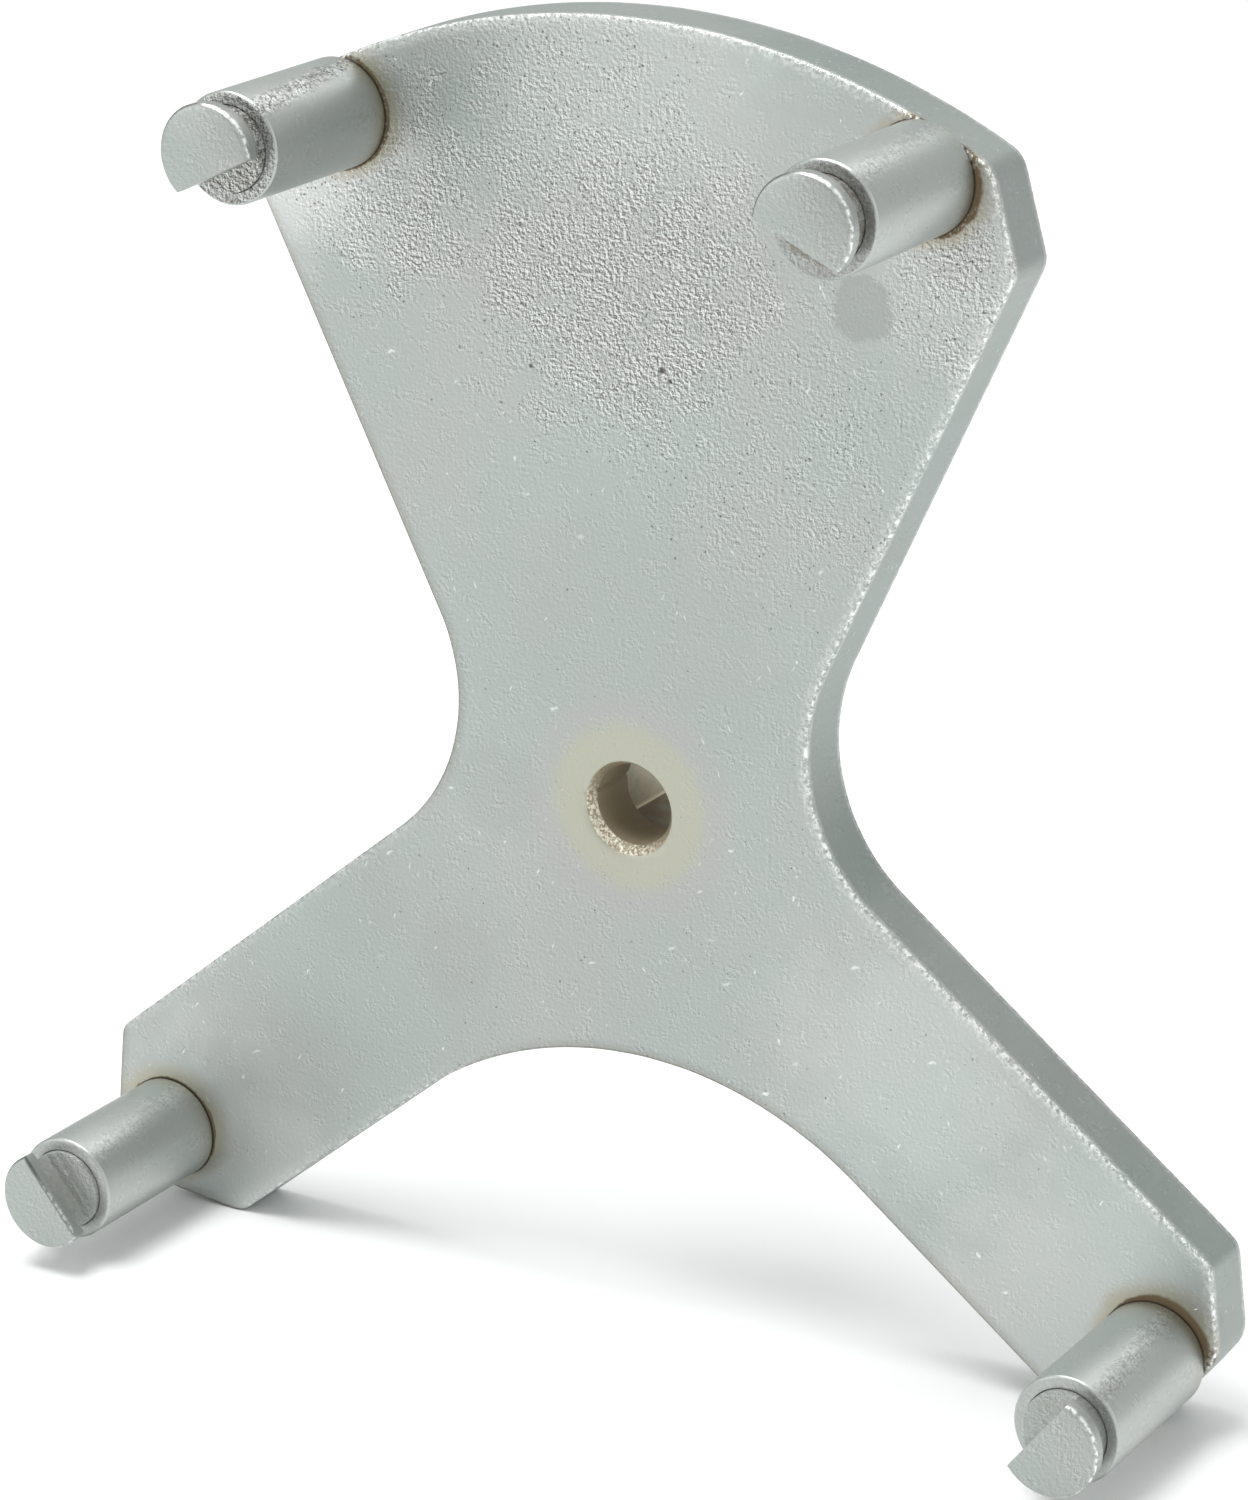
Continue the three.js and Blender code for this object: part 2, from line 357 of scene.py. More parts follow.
class NodeBench:
    """Adds nodes to one tree, of a material or of geometry."""

    def __init__(self, tree: bpy.types.NodeTree) -> None:
        """Works on a tree."""
        self.tree = tree

    def node(self, kind: str, settings: dict | None = None, sockets: dict | None = None) -> bpy.types.Node:
        """Adds any node.

        Args:
            kind: The node's type.
            settings: Its properties, set first.
            sockets: What each input gets, by name or number: a wire or a value.

        Returns:
            The new node.
        """
        node = self.tree.nodes.new(kind)
        for name, value in (settings or {}).items():
            setattr(node, name, value)
        for name, value in (sockets or {}).items():
            if isinstance(value, Wire):
                self.tree.links.new(value.socket, node.inputs[name])
            else:
                node.inputs[name].default_value = value
        return node

    def out(self, node: bpy.types.Node, output: int | str = 0) -> Wire:
        """Wraps one output of a node."""
        return Wire(self, node.outputs[output])

    def maths(self, operation: str, *values: Number) -> Wire:
        """Adds a Math node on its values."""
        return self.out(self.node("ShaderNodeMath", {"operation": operation}, dict(enumerate(values))))

    def vector(
        self, operation: str, first: Wire, second: Point, output: str = "Vector"
    ) -> Wire:
        """Adds a Vector Math node and gives its vector."""
        node = self.node("ShaderNodeVectorMath", {"operation": operation}, {0: first, 1: second})
        return self.out(node, output)

    def measured(self, operation: str, first: Wire, second: Point) -> Wire:
        """Adds a Vector Math node and gives its number."""
        return self.vector(operation, first, second, "Value")

    def distance(self, first: Wire, second: Point) -> Wire:
        """Measures between two points."""
        return self.measured("DISTANCE", first, second)

    def joined(self, x: Number, y: Number, z: Number) -> Wire:
        """Makes a vector of three values."""
        return self.out(self.node("ShaderNodeCombineXYZ", sockets={0: x, 1: y, 2: z}))

    def parts(self, vector: Wire) -> tuple[Wire, Wire, Wire]:
        """Takes a vector apart."""
        node = self.node("ShaderNodeSeparateXYZ", sockets={0: vector})
        return self.out(node, 0), self.out(node, 1), self.out(node, 2)

    def step(self, value: Wire, low: float, high: float) -> Wire:
        """Rises smoothly from 0 at low to 1 at high, or falls where low is the larger."""
        rising = low < high
        settings = {"interpolation_type": "SMOOTHSTEP", "clamp": True}
        ends = {"From Min": low, "From Max": high} if rising else {"From Min": high, "From Max": low}
        result = self.out(self.node("ShaderNodeMapRange", settings, {"Value": value, **ends}))
        return result if rising else 1 - result

    def noise(self, vector: Wire, scale: float, detail: float = 2.0, roughness: float = 0.5) -> Wire:
        """Reads a noise from 0 to 1, with a scale per unit of the vector."""
        sockets = {"Vector": vector, "Scale": scale, "Detail": detail, "Roughness": roughness}
        return self.out(self.node("ShaderNodeTexNoise", {"noise_dimensions": "3D"}, sockets))

    def blotches(
        self, vector: Wire, scale: float, low: float, high: float, detail: float = 3.0, roughness: float = 0.6
    ) -> Wire:
        """Makes a mask of what a noise has above low, full from high on."""
        return self.step(self.noise(vector, scale, detail, roughness), low, high)


class ShaderBench(NodeBench):
    """Adds the nodes of one material."""

    def __init__(self, name: str) -> None:
        """Starts a material with one Principled BSDF."""
        self.material = bpy.data.materials.new(name)
        self.material.use_nodes = True
        super().__init__(self.material.node_tree)
        self.shader = self.tree.nodes["Principled BSDF"]

    def local(self, datum: Datum) -> Wire:
        """Gives the point in millimetres from a datum: across, minus out, and up."""
        start = self.out(self.node("ShaderNodeTexCoord"), "Object")
        shift = tuple(-value / MM for value in (datum.across, datum.face, datum.up))
        sockets = {"Vector": start, "Location": shift, "Scale": (1 / MM,) * 3}
        return self.out(self.node("ShaderNodeMapping", sockets=sockets))

    def moved(self, vector: Wire, turn: Sequence[float], scale: Sequence[float]) -> Wire:
        """Turns a point by angles in radians and then stretches it."""
        turned_point = self.out(self.node(
            "ShaderNodeVectorRotate", {"rotation_type": "EULER_XYZ"}, {"Vector": vector, "Rotation": turn}
        ))
        return self.vector("MULTIPLY", turned_point, scale)

    def layer(self, name: str) -> Wire:
        """Reads a float layer of the piece's own mesh."""
        return self.out(self.node("ShaderNodeAttribute", {"attribute_name": name}), "Fac")

    def mix(self, mask: Number, first: Paint, second: Paint) -> Wire:
        """Mixes two colours: the first where the mask is 0, the second where it is 1."""
        node = self.node("ShaderNodeMix", {"data_type": "RGBA"}, {"Factor": mask})
        for index, colour in ((6, first), (7, second)):
            if isinstance(colour, Wire):
                self.tree.links.new(colour.socket, node.inputs[index])
            else:
                node.inputs[index].default_value = (*colour, 1.0)
        return self.out(node, 2)

    def painted(self, colour: Wire, *coats: tuple[Number, Paint]) -> Wire:
        """Lays coats over a colour in turn, each a mask and what shows where it is 1."""
        for mask, coat in coats:
            colour = self.mix(mask, colour, coat)
        return colour

    def cells(self, vector: Wire, scale: float) -> tuple[Wire, Wire]:
        """Scatters points, and gives the distance to the nearest and a chance of its own for each."""
        node = self.node("ShaderNodeTexVoronoi", {"feature": "F1"}, {"Vector": vector, "Scale": scale})
        chance = self.node("ShaderNodeSeparateColor", sockets={0: self.out(node, "Color")})
        return self.out(node, "Distance"), self.out(chance, 0)

    def crooked(self, vector: Wire, scale: float, reach: float) -> Wire:
        """Shifts a point about by a noise, which makes round things crooked."""
        node = self.node("ShaderNodeTexNoise", sockets={"Vector": vector, "Scale": scale, "Detail": 2.0})
        centred = self.vector("SUBTRACT", self.out(node, "Color"), (0.5,) * 3)
        return self.vector("ADD", vector, self.vector("MULTIPLY", centred, (2 * reach,) * 3))

    def flecks(self, vector: Wire, per_mm: float, share: Number, size: float) -> Wire:
        """Scatters separate flecks.

        Args:
            vector: The point in millimetres.
            per_mm: How many places there are to a millimetre.
            share: How many of the places hold a fleck, from 0 to 1.
            size: A fleck's radius as a part of the spacing.

        Returns:
            Their mask.
        """
        far, chance = self.cells(vector, per_mm)
        return self.step(far, size, size * 0.5) * self.step(share - chance, 0.0, 0.05)

    def finish(self, colour: Wire, roughness: Wire, metallic: Wire, height: Wire) -> bpy.types.Material:
        """Feeds the shader.

        Args:
            colour: Base colour.
            roughness: Roughness.
            metallic: Metallic.
            height: Height of the surface in millimetres.

        Returns:
            The finished material.
        """
        relief = self.node("ShaderNodeBump", sockets={"Strength": 1.0, "Distance": MM, "Height": height})
        self.tree.links.new(self.out(relief).socket, self.shader.inputs["Normal"])
        for name, value in (("Base Color", colour), ("Roughness", roughness), ("Metallic", metallic)):
            self.tree.links.new(value.socket, self.shader.inputs[name])
        return self.material


# Finishes


@dataclass(frozen=True)
class Tones:
    """The colours that every finish draws on."""

    zinc: Colour = (0.385, 0.425, 0.404)
    zinc_warm: Colour = (0.412, 0.428, 0.410)
    # Painted highlight: the colour of painted glints on relief and nicks, and of the plate's pale patches.
    painted_light: Colour = (0.82, 0.84, 0.83)
    # Real pits and tool marks, and painted shade on the relief's shaded side.
    pit_and_shade: Colour = (0.135, 0.128, 0.118)
    haze: Colour = (0.375, 0.365, 0.350)
    # Dark brown: heat scorch and weld scale, and painted shade on the plate's shaded edges, in the pins'
    # necks and at the sleeves' feet.
    dark_brown: Colour = (0.135, 0.090, 0.042)
    straw: Colour = (0.385, 0.340, 0.245)
    pale_straw: Colour = (0.440, 0.432, 0.345)
    violet: Colour = (0.425, 0.398, 0.395)
    stain: Colour = (0.315, 0.330, 0.315)
    burnt: Colour = (0.285, 0.225, 0.140)
    weld: Colour = (0.30, 0.29, 0.26)
    # Near black: real dark specks, and painted shade in crevices, in weld hollows and on the shaded side of
    # the pins' heads.
    soot_and_shade: Colour = (0.05, 0.042, 0.032)
    # Painted shade, laid by the dim patches on the plate.
    shade: Colour = (0.30, 0.34, 0.325)
    flank: Colour = (0.27, 0.305, 0.29)
    # Painted highlight on the plate's edges on the lit side.
    rubbed_and_edge_highlight: Colour = (0.97, 0.98, 0.97)
    # Painted highlight on the lit side of the pins' heads.
    head_edge_highlight: Colour = (0.95, 0.96, 0.95)
    # Painted highlight on the lit side of the bore's chamfer.
    mouth_highlight: Colour = (0.86, 0.82, 0.68)
    # Socket brown, darkened as painted shade for its top and bottom walls.
    socket_shaded_wall: Colour = (0.22, 0.165, 0.100)
    # Socket brown, lightened as painted light for its side walls.
    socket_lit_wall: Colour = (0.86, 0.79, 0.61)
    # Painted highlight along the socket's corners.
    socket_corner_highlight: Colour = (0.95, 0.88, 0.72)
    floor: Colour = (0.90, 0.905, 0.91)
    floor_pale: Colour = (0.93, 0.93, 0.93)


TONES = Tones()


@dataclass(frozen=True)
class Patch:
    """A round patch on the plate's face, in millimetres from the drive axis."""

    across: float
    up: float
    radius: float
    strength: float


@dataclass(frozen=True)
class HeatTint:
    """The heat tint on the plate round one sleeve, in millimetres and degrees.

    Attributes:
        lean: The direction in which the band is widest, from +X towards +Z.
        narrow: Width of the scorched band away from there.
        wide: Its width there.
        strength: How dark the band is, from 0 to 1.
        spread: How far the straw colour reaches.
        wash: How strong the straw colour is, from 0 to 1.
    """

    lean: float
    narrow: float
    wide: float
    strength: float
    spread: float
    wash: float


@dataclass(frozen=True)
class NickLayer:
    """Short dents that lie one way: their direction, their spread and how many of the places have one."""

    direction: float
    per_mm: float
    share: float
    depth: float


class PlatedSteel:
    """Satin zinc plating on steel, with clouding, grain and small nicks, and painted highlight and painted
    shade on its relief and nicks.
    """

    nicks: tuple[NickLayer, ...] = (
        NickLayer(direction=62, per_mm=1.05, share=0.50, depth=0.045),
        NickLayer(direction=118, per_mm=0.85, share=0.40, depth=0.045),
        NickLayer(direction=20, per_mm=0.65, share=0.22, depth=0.04),
    )
    stretch: float = 0.34
    relief_scale: float = 2.7
    relief_reach: float = 0.10
    relief_floor: float = 0.02
    relief_strewn: float = 0.18
    tone: Colour = TONES.zinc
    warm_tone: Colour = TONES.zinc_warm
    roughness: float = 0.40
    grain: float = 0.010

    def __init__(self, name: str, datum: Datum) -> None:
        """Starts the finish on a piece that stands on a datum."""
        self.bench = ShaderBench(name)
        self.datum = datum
        self.point = self.bench.local(datum)
        self.flat = self.bench.vector("MULTIPLY", self.point, (1.0, 0.0, 1.0))

    def from_axis(self) -> Wire:
        """Gives the distance from the datum's axis in millimetres."""
        return self.bench.distance(self.flat, (0.0, 0.0, 0.0))

    def clouds(self) -> Wire:
        """Gives the slow change of tone over the plating."""
        return self.bench.blotches(self.point, 0.045, 0.35, 0.65, roughness=0.55)

    def nick_mask(self) -> tuple[Wire, Wire]:
        """Gives the mask of the nicks and their depth in millimetres."""
        bench = self.bench
        dents, depths = [], []
        crooked = bench.crooked(self.point, 1.4, 0.32)
        for layer in self.nicks:
            turn = (0.0, math.radians(layer.direction), 0.0)
            stretched = bench.moved(crooked, turn, (self.stretch, 1.0, 1.0))
            far, chance = bench.cells(stretched, layer.per_mm)
            size = bench.step(chance, 1 - layer.share, 1.0)
            dent = bench.step(far, 0.15, 0.04) * size
            dents.append(dent)
            depths.append(dent * layer.depth)
        return reduce(or_, dents), reduce(add, depths)

    def body(self, density: Number = 0.0) -> tuple[Wire, Wire, Wire]:
        """Gives the colour, roughness and height that every plated piece shares.

        Args:
            density: How pitted the plating is, from 0 to 1.

        Returns:
            The colour, the roughness and the height in millimetres.
        """
        bench = self.bench
        clouds = self.clouds()
        beside = bench.vector("ADD", self.point, (self.relief_reach, 0.0, self.relief_reach))
        bumps = bench.noise(self.point, self.relief_scale, 3, 0.7)
        facing = bumps - bench.noise(beside, self.relief_scale, 3, 0.7)
        strewn = bench.blotches(self.point, 0.55, 0.46, 0.64, detail=2)
        share = strewn * self.relief_strewn + density + self.relief_floor
        mask, depth = self.nick_mask()
        # Painted light: the relief, lit from one side, gets painted highlight where it faces the light and
        # painted shade where it faces away; the nicks get painted glints.
        bright = bench.step(facing, 0.035, 0.075) * share
        dark = bench.step(facing, -0.040, -0.075) * share
        colour = bench.mix(clouds, self.tone, self.warm_tone)
        colour = bench.painted(
            colour, (dark * 0.95, TONES.pit_and_shade), ((bright * 0.95) | (mask * 0.75), TONES.painted_light)
        )
        roughness = self.roughness + clouds * 0.05 + bumps * 0.05 - mask * 0.10 + dark * 0.10
        height = bumps * (share * 0.007 + self.grain) - depth
        return colour, roughness, height


class PlateFinish(PlatedSteel):
    """The plate's finish: pitting across the sector, heat tints round the bore and sleeves, chipped edges
    with painted highlight on the lit side and painted shade on the other, and painted light and shade in
    patches.
    """

    pitting: tuple[Patch, ...] = (
        Patch(0, 49, 21, 1.15),
        Patch(-24, 55, 15, 1.1),
        Patch(-6, 60, 22, 0.6),
        Patch(34, 50, 11, 0.65),
        Patch(14, 36, 22, 0.32),
        Patch(-22, 57, 6, 1.3),
        Patch(33, 54, 6, 1.3),
        Patch(0, 0, 90, 0.08),
    )
    stains: tuple[Patch, ...] = (
        Patch(23.6, 48.5, 3.1, 0.85),
        Patch(-19, -18, 5.4, 0.22),
        Patch(-14.6, 0, 6.0, 0.24),
        Patch(-30, -14, 7.4, 0.20),
    )
    specks: tuple[Patch, ...] = (
        Patch(3.9, 40.8, 0.45, 1.0), Patch(4.7, 39.9, 0.35, 1.0), Patch(-9.5, 39.6, 0.3, 0.9),
    )
    bore_tint: float = 6.4
    bore_fade: float = 9.2
    # Painted light: the pale patches are painted light and the dim patches are painted shade.
    pale: tuple[Patch, ...] = (
        Patch(2, 70, 22, 0.8), Patch(38, 55, 20, 0.8), Patch(46, -42, 26, 1.0), Patch(28, -20, 18, 0.8),
        Patch(-35, 60, 18, 2.6), Patch(-46, -42, 16, 1.5),
    )
    dim: tuple[Patch, ...] = (Patch(0, 12, 26, 0.9), Patch(-28, -20, 24, 0.8), Patch(0, -14, 18, 0.6))

    def __init__(
        self, name: str, datum: Datum, heats: Sequence[tuple[Datum, HeatTint]], sleeve_radius: float,
        bore_radius: float,
    ) -> None:
        """Starts the finish.

        Args:
            name: The material's name.
            datum: The drive axis on the plate's front face.
            heats: Where each pin stands, and the tint round it.
            sleeve_radius: Outer radius of their sleeves.
            bore_radius: Radius of the centre bore.
        """
        super().__init__(name, datum)
        self.heats = heats
        self.sleeve = sleeve_radius / MM
        self.bore = bore_radius / MM
        wobble = self.bench.noise(self.point, 0.16, 3, 0.6)
        self.wobble = (wobble - 0.5) * 2

    def patches(self, places: Sequence[Patch], core: float = 0.25, fray: float = 0.0) -> Wire:
        """Joins ragged patches into one mask.

        Args:
            places: The patches.
            core: The share of its radius inside which a patch is full.
            fray: How far its edge is frayed, in millimetres.

        Returns:
            The mask.
        """
        bench = self.bench
        spots = []
        for patch in places:
            far = bench.distance(self.flat, (patch.across, 0.0, patch.up))
            ragged = far + self.wobble * (patch.radius * 0.6 * (1 - core))
            if fray:
                ragged = ragged + (bench.noise(self.flat, 0.42, 4, 0.7) - 0.5) * (2 * fray)
            spots.append(bench.step(ragged, patch.radius, patch.radius * core) * patch.strength)
        return reduce(or_, spots)

    def heat(self) -> tuple[Wire, Wire, Wire]:
        """Gives the masks of the scorched bands, the straw round them and the painted crevice shade at the
        feet.
        """
        bench = self.bench
        drift = self.wobble * 0.5 + (bench.noise(self.point, 1.1, 2, 0.6) - 0.5) * 0.5
        masks = []
        for pin, tint in self.heats:
            foot = ((pin.across - self.datum.across) / MM, 0.0, (pin.up - self.datum.up) / MM)
            far = bench.distance(self.flat, foot)
            lean = polar(1.0, tint.lean)
            offset = bench.vector("SUBTRACT", self.flat, foot)
            toward = bench.measured("DOT_PRODUCT", offset, (lean.x, 0.0, lean.y))
            side = bench.step(toward / far, -0.6, 1.0)
            outside = far - self.sleeve
            band = (outside + drift * 0.9) / (side * (tint.wide - tint.narrow) + tint.narrow)
            spread = (outside + drift * 2.0) / (side * (tint.spread * 0.5) + tint.spread * 0.5)
            masks.append((
                bench.step(band, 1.25, 0.75) * tint.strength,
                bench.step(spread, 1.2, 0.1) * tint.wash,
                bench.step(outside, 0.14, 0.05),
            ))
        dark_brown, straw, gap = (reduce(or_, kind) for kind in zip(*masks))
        return dark_brown, straw, gap

    def material(self) -> bpy.types.Material:
        """Builds the finish.

        Returns:
            The plate's material.
        """
        bench = self.bench
        _, depth, _ = bench.parts(self.point)
        front = bench.step(depth, 0.9, 0.2)
        dense = self.patches(self.pitting) * front
        uneven = bench.blotches(self.point, 0.30, 0.34, 0.62)
        colour, roughness, height = self.body(dense * (uneven * 0.75 + 0.45))
        rough = bench.crooked(self.flat, 3.0, 0.14)
        pits = bench.flecks(rough, 2.6, dense * 0.40 + 0.01, 0.34)
        stain = self.patches(self.stains[:1], 0.85, 1.6) | self.patches(self.stains[1:], 0.55, 3.5)
        speck = self.patches(self.specks) * front
        colour = bench.painted(
            colour,
            # Painted shade from the dim patches, then painted light from the pale ones.
            (self.patches(self.dim) * 0.22, TONES.shade),
            (self.patches(self.pale) * 0.20, TONES.painted_light),
            (dense * 0.22, TONES.haze),
            (pits * 0.80, TONES.pit_and_shade),
            (stain * front * 0.75, TONES.stain),
            (speck * 0.9, TONES.soot_and_shade),
        )

        dark_brown, straw, gap = self.heat()
        # Painted glints: the heat tints and the halo thin out in spots, where the lighter plating shows
        # through as glints.
        glints = bench.blotches(self.point, 3.0, 0.52, 0.64, detail=2)
        glints_in_pitting = glints * dense
        colour = bench.painted(
            colour,
            (straw * front * (1 - glints_in_pitting * 0.5), TONES.straw),
            (dark_brown * front * (1 - glints_in_pitting * 0.6), TONES.dark_brown),
            # Painted shade in the crevice round each sleeve's foot.
            (gap * front * 0.8, TONES.soot_and_shade),
        )

        centre = self.from_axis()
        from_bore = centre + self.wobble * 0.6
        halo = bench.step(from_bore, self.bore_fade, self.bore_tint)
        rim = bench.step(from_bore, self.bore_fade + 2.4, self.bore_fade) * (1 - halo)
        colour = bench.painted(
            colour, (rim * 0.35, TONES.violet), (halo * (0.85 - glints * 0.40), TONES.pale_straw)
        )
        sunk = bench.step(depth, 0.04, 0.12) * bench.step(centre, self.bore + 2.0, self.bore + 1.5)
        wall = bench.step(depth, 0.80, 0.98) * bench.step(centre, self.bore + 0.5, self.bore + 0.3)
        crumbs_and_glints = bench.blotches(self.point, 3.4, 0.38, 0.62, roughness=0.7)
        mouth = sunk * (1 - wall)
        # Painted highlight on the lower left of the bore's chamfer, the part that faces the light.
        low = bench.measured("DOT_PRODUCT", self.flat, (-0.55 / self.bore, 0.0, -0.83 / self.bore))
        rubbed_and_edge_highlight = bench.noise(bench.vector("MULTIPLY", self.point, (1.0, 0.10, 1.0)), 1.8, 3, 0.6)
        colour = bench.painted(
            colour,
            (mouth * 0.85, TONES.burnt),
            (mouth * crumbs_and_glints * bench.step(low, -0.3, 0.9), TONES.mouth_highlight),
            (wall * (1.05 - rubbed_and_edge_highlight * 0.35), TONES.burnt),
        )

        # Painted light on the plate's edges: a painted highlight, broken by chips, on the side that faces the
        # light, and painted shade on the side that faces away.
        edge, lit = bench.layer("edge"), bench.layer("lit")
        chips_and_glints = bench.blotches(self.point, 2.2, 0.42, 0.60, 4, 0.7)
        bright = edge * chips_and_glints * bench.step(lit, 0.25, 0.75)
        dull = edge * (1 - bright) * bench.step(lit, 0.55, 0.15)
        side = bench.layer("side")
        colour = bench.painted(
            colour, (side * 0.50, TONES.flank), (bright, TONES.rubbed_and_edge_highlight), (dull * 0.60, TONES.dark_brown)
        )

        streaked = bench.vector("MULTIPLY", self.point, (1.0, 0.12, 1.0))
        streaks = bench.noise(streaked, 1.3, 3, 0.6)
        burnt = dark_brown * front
        roughness = roughness + pits * 0.12 + burnt * 0.20 + side * 0.07 - bright * 0.14 + wall * 0.08
        metallic = 0.94 - burnt * 0.45 - pits * 0.15 - speck * 0.6 - wall * 0.72 - mouth * 0.45
        height = height - pits * 0.022 - speck * 0.12
        height = height + (chips_and_glints - 0.5) * edge * 0.05 + (streaks - 0.5) * side * 0.035 + crumbs_and_glints * mouth * 0.05
        return bench.finish(colour, roughness, metallic, height)


class SleeveFinish(PlatedSteel):
    """A turned sleeve's finish: faint turning lines, a heat tint at its foot with scorch and painted crevice
    shade at the very foot, and a darker end.
    """

    nicks = (
        NickLayer(direction=20, per_mm=0.40, share=0.24, depth=0.03),
        NickLayer(direction=110, per_mm=0.36, share=0.18, depth=0.03),
    )
    tone = (0.450, 0.490, 0.470)
    warm_tone = (0.475, 0.495, 0.477)
    relief_strewn = 0.14
    roughness = 0.36
    grain = 0.003

    def __init__(self, name: str, datum: Datum, length: float, trim: "PinTrim") -> None:
        """Starts the finish.

        Args:
            name: The material's name.
            datum: The sleeve's axis on the plate's front face.
            length: The sleeve's length.
            trim: What is the pin's own.
        """
        super().__init__(name, datum)
        self.length = length / MM
        self.trim = trim

    def material(self) -> bpy.types.Material:
        """Builds the finish.

        Returns:
            The sleeve's material.
        """
        bench = self.bench
        across, depth, up = bench.parts(self.point)
        out = 0 - depth
        end = bench.step(out, self.length - 0.06, self.length - 0.01)
        ragged = (bench.noise(self.point, 0.35, 3, 0.6) - 0.5) * 2
        slant = across + ragged * 0.6 - out * 0.10
        band = bench.step(slant, 0.4, 1.0) * bench.step(slant, 2.5, 1.8)
        strip = band * bench.step(up, 0.0, 1.0) * self.trim.scars
        colour, roughness, height = self.body(end * self.trim.pitting * 0.8 + strip * 0.9)
        straw = bench.step(out + ragged * 1.4, 2.6, 0.3) * self.trim.foot_tint
        # The lowest band at the foot is scorch with painted shade of the crevice at the plate.
        foot_scorch_and_shade = bench.step(out + ragged * 0.15, 0.24, 0.08)
        pits = bench.blotches(self.point, 2.1, 0.56, 0.64, detail=2) * end * self.trim.pitting
        # The end is darker, in blotches and all over.
        darkening = bench.blotches(self.point, 0.6, 0.42, 0.58) * end
        smear = strip * bench.blotches(self.point, 0.8, 0.42, 0.56)
        colour = bench.painted(
            colour,
            (straw * 0.6, TONES.straw),
            (foot_scorch_and_shade * 0.85, TONES.dark_brown),
            (pits * 0.55, TONES.pit_and_shade),
            (darkening * (0.18 + 0.32 * self.trim.darkening), TONES.haze),
            (end * (0.12 + 0.28 * self.trim.darkening), TONES.pit_and_shade),
            (smear * 0.45, TONES.haze),
        )

        lines = bench.noise(bench.vector("MULTIPLY", self.point, (0.05, 1.0, 0.05)), 6.0, 2, 0.6)
        height = height + (lines - 0.5) * 0.006 - pits * 0.04
        roughness = roughness + pits * 0.2 + foot_scorch_and_shade * 0.3 + (lines - 0.5) * 0.10
        return bench.finish(colour, roughness, 0.94 - foot_scorch_and_shade * 0.5 - pits * 0.20, height)


class PinFinish(PlatedSteel):
    """A headed pin's finish: arcs of the facing tool on its head, milling lines on its flat, painted shade in
    its neck and painted light and shade on its head's rim.
    """

    nicks = (
        NickLayer(direction=35, per_mm=0.50, share=0.24, depth=0.03),
        NickLayer(direction=120, per_mm=0.42, share=0.20, depth=0.03),
    )
    relief_strewn = 0.16
    roughness = 0.38
    grain = 0.006
    swing_centre = (-6.0, 0.0, -5.2)

    def __init__(
        self, name: str, datum: Datum, neck: tuple[float, float], flat_angle: float, trim: "PinTrim"
    ) -> None:
        """Starts the finish.

        Args:
            name: The material's name.
            datum: The pin's axis on the plate's front face.
            neck: Where the neck starts and ends, out from the plate.
            flat_angle: Which way the flat faces, in radians from +X towards +Z.
            trim: What is the pin's own.
        """
        super().__init__(name, datum)
        self.neck = (neck[0] / MM, neck[1] / MM)
        self.flat_angle = flat_angle
        self.trim = trim

    def material(self) -> bpy.types.Material:
        """Builds the finish.

        Returns:
            The pin's material.
        """
        bench = self.bench
        across, depth, _ = bench.parts(self.point)
        out = 0 - depth
        start, end = self.neck
        floor = bench.step(out, start + 1.1, start + 0.9)
        facing = bench.step(out, end + 1.3, end + 1.55)
        colour, roughness, height = self.body(floor * self.trim.pitting + facing * 0.08)
        # Painted shade in the neck under the head, in blotches, with less metallic reflection.
        in_neck = bench.step(out, start - 0.3, start) * bench.step(out, end + 0.35, end - 0.05)
        soot_and_shade = bench.blotches(self.point, 0.7, 0.40, 0.60)
        colour = bench.mix(in_neck * (soot_and_shade * 0.4 + 0.3) * self.trim.darkening, colour, TONES.dark_brown)

        swing = bench.distance(self.flat, self.swing_centre)
        arcs = bench.noise(bench.joined(swing, 0.0, 0.0), 4.6, 2, 0.6)
        colour = bench.mix(facing * (0.05 + bench.step(arcs, 0.40, 0.62) * 0.08), colour, TONES.pit_and_shade)
        # Painted light on the head's rim: a painted highlight on the right, lit side and painted shade on the
        # left.
        edge = bench.step(out, end + 0.9, end + 1.25) * (1 - facing)
        right = bench.step(across, -1.5, 1.0)
        chips_and_glints = bench.blotches(self.point, 1.8, 0.42, 0.56)
        colour = bench.painted(
            colour,
            (edge * right * chips_and_glints * 0.9, TONES.head_edge_highlight),
            (edge * (1 - right) * 0.65, TONES.soot_and_shade),
        )
        turned_back = bench.moved(self.point, (0.0, self.flat_angle, 0.0), (3.5, 0.25, 0.25))
        milling = bench.noise(turned_back, 1.6, 2, 0.6)
        milled = bench.step(out, end + 0.2, end - 0.4)
        height = height + (arcs - 0.5) * facing * 0.010 + (milling - 0.5) * milled * 0.035
        roughness = roughness + (arcs - 0.5) * facing * 0.10 + in_neck * 0.10
        return bench.finish(colour, roughness, 0.94 - in_neck * (0.45 * self.trim.darkening), height)


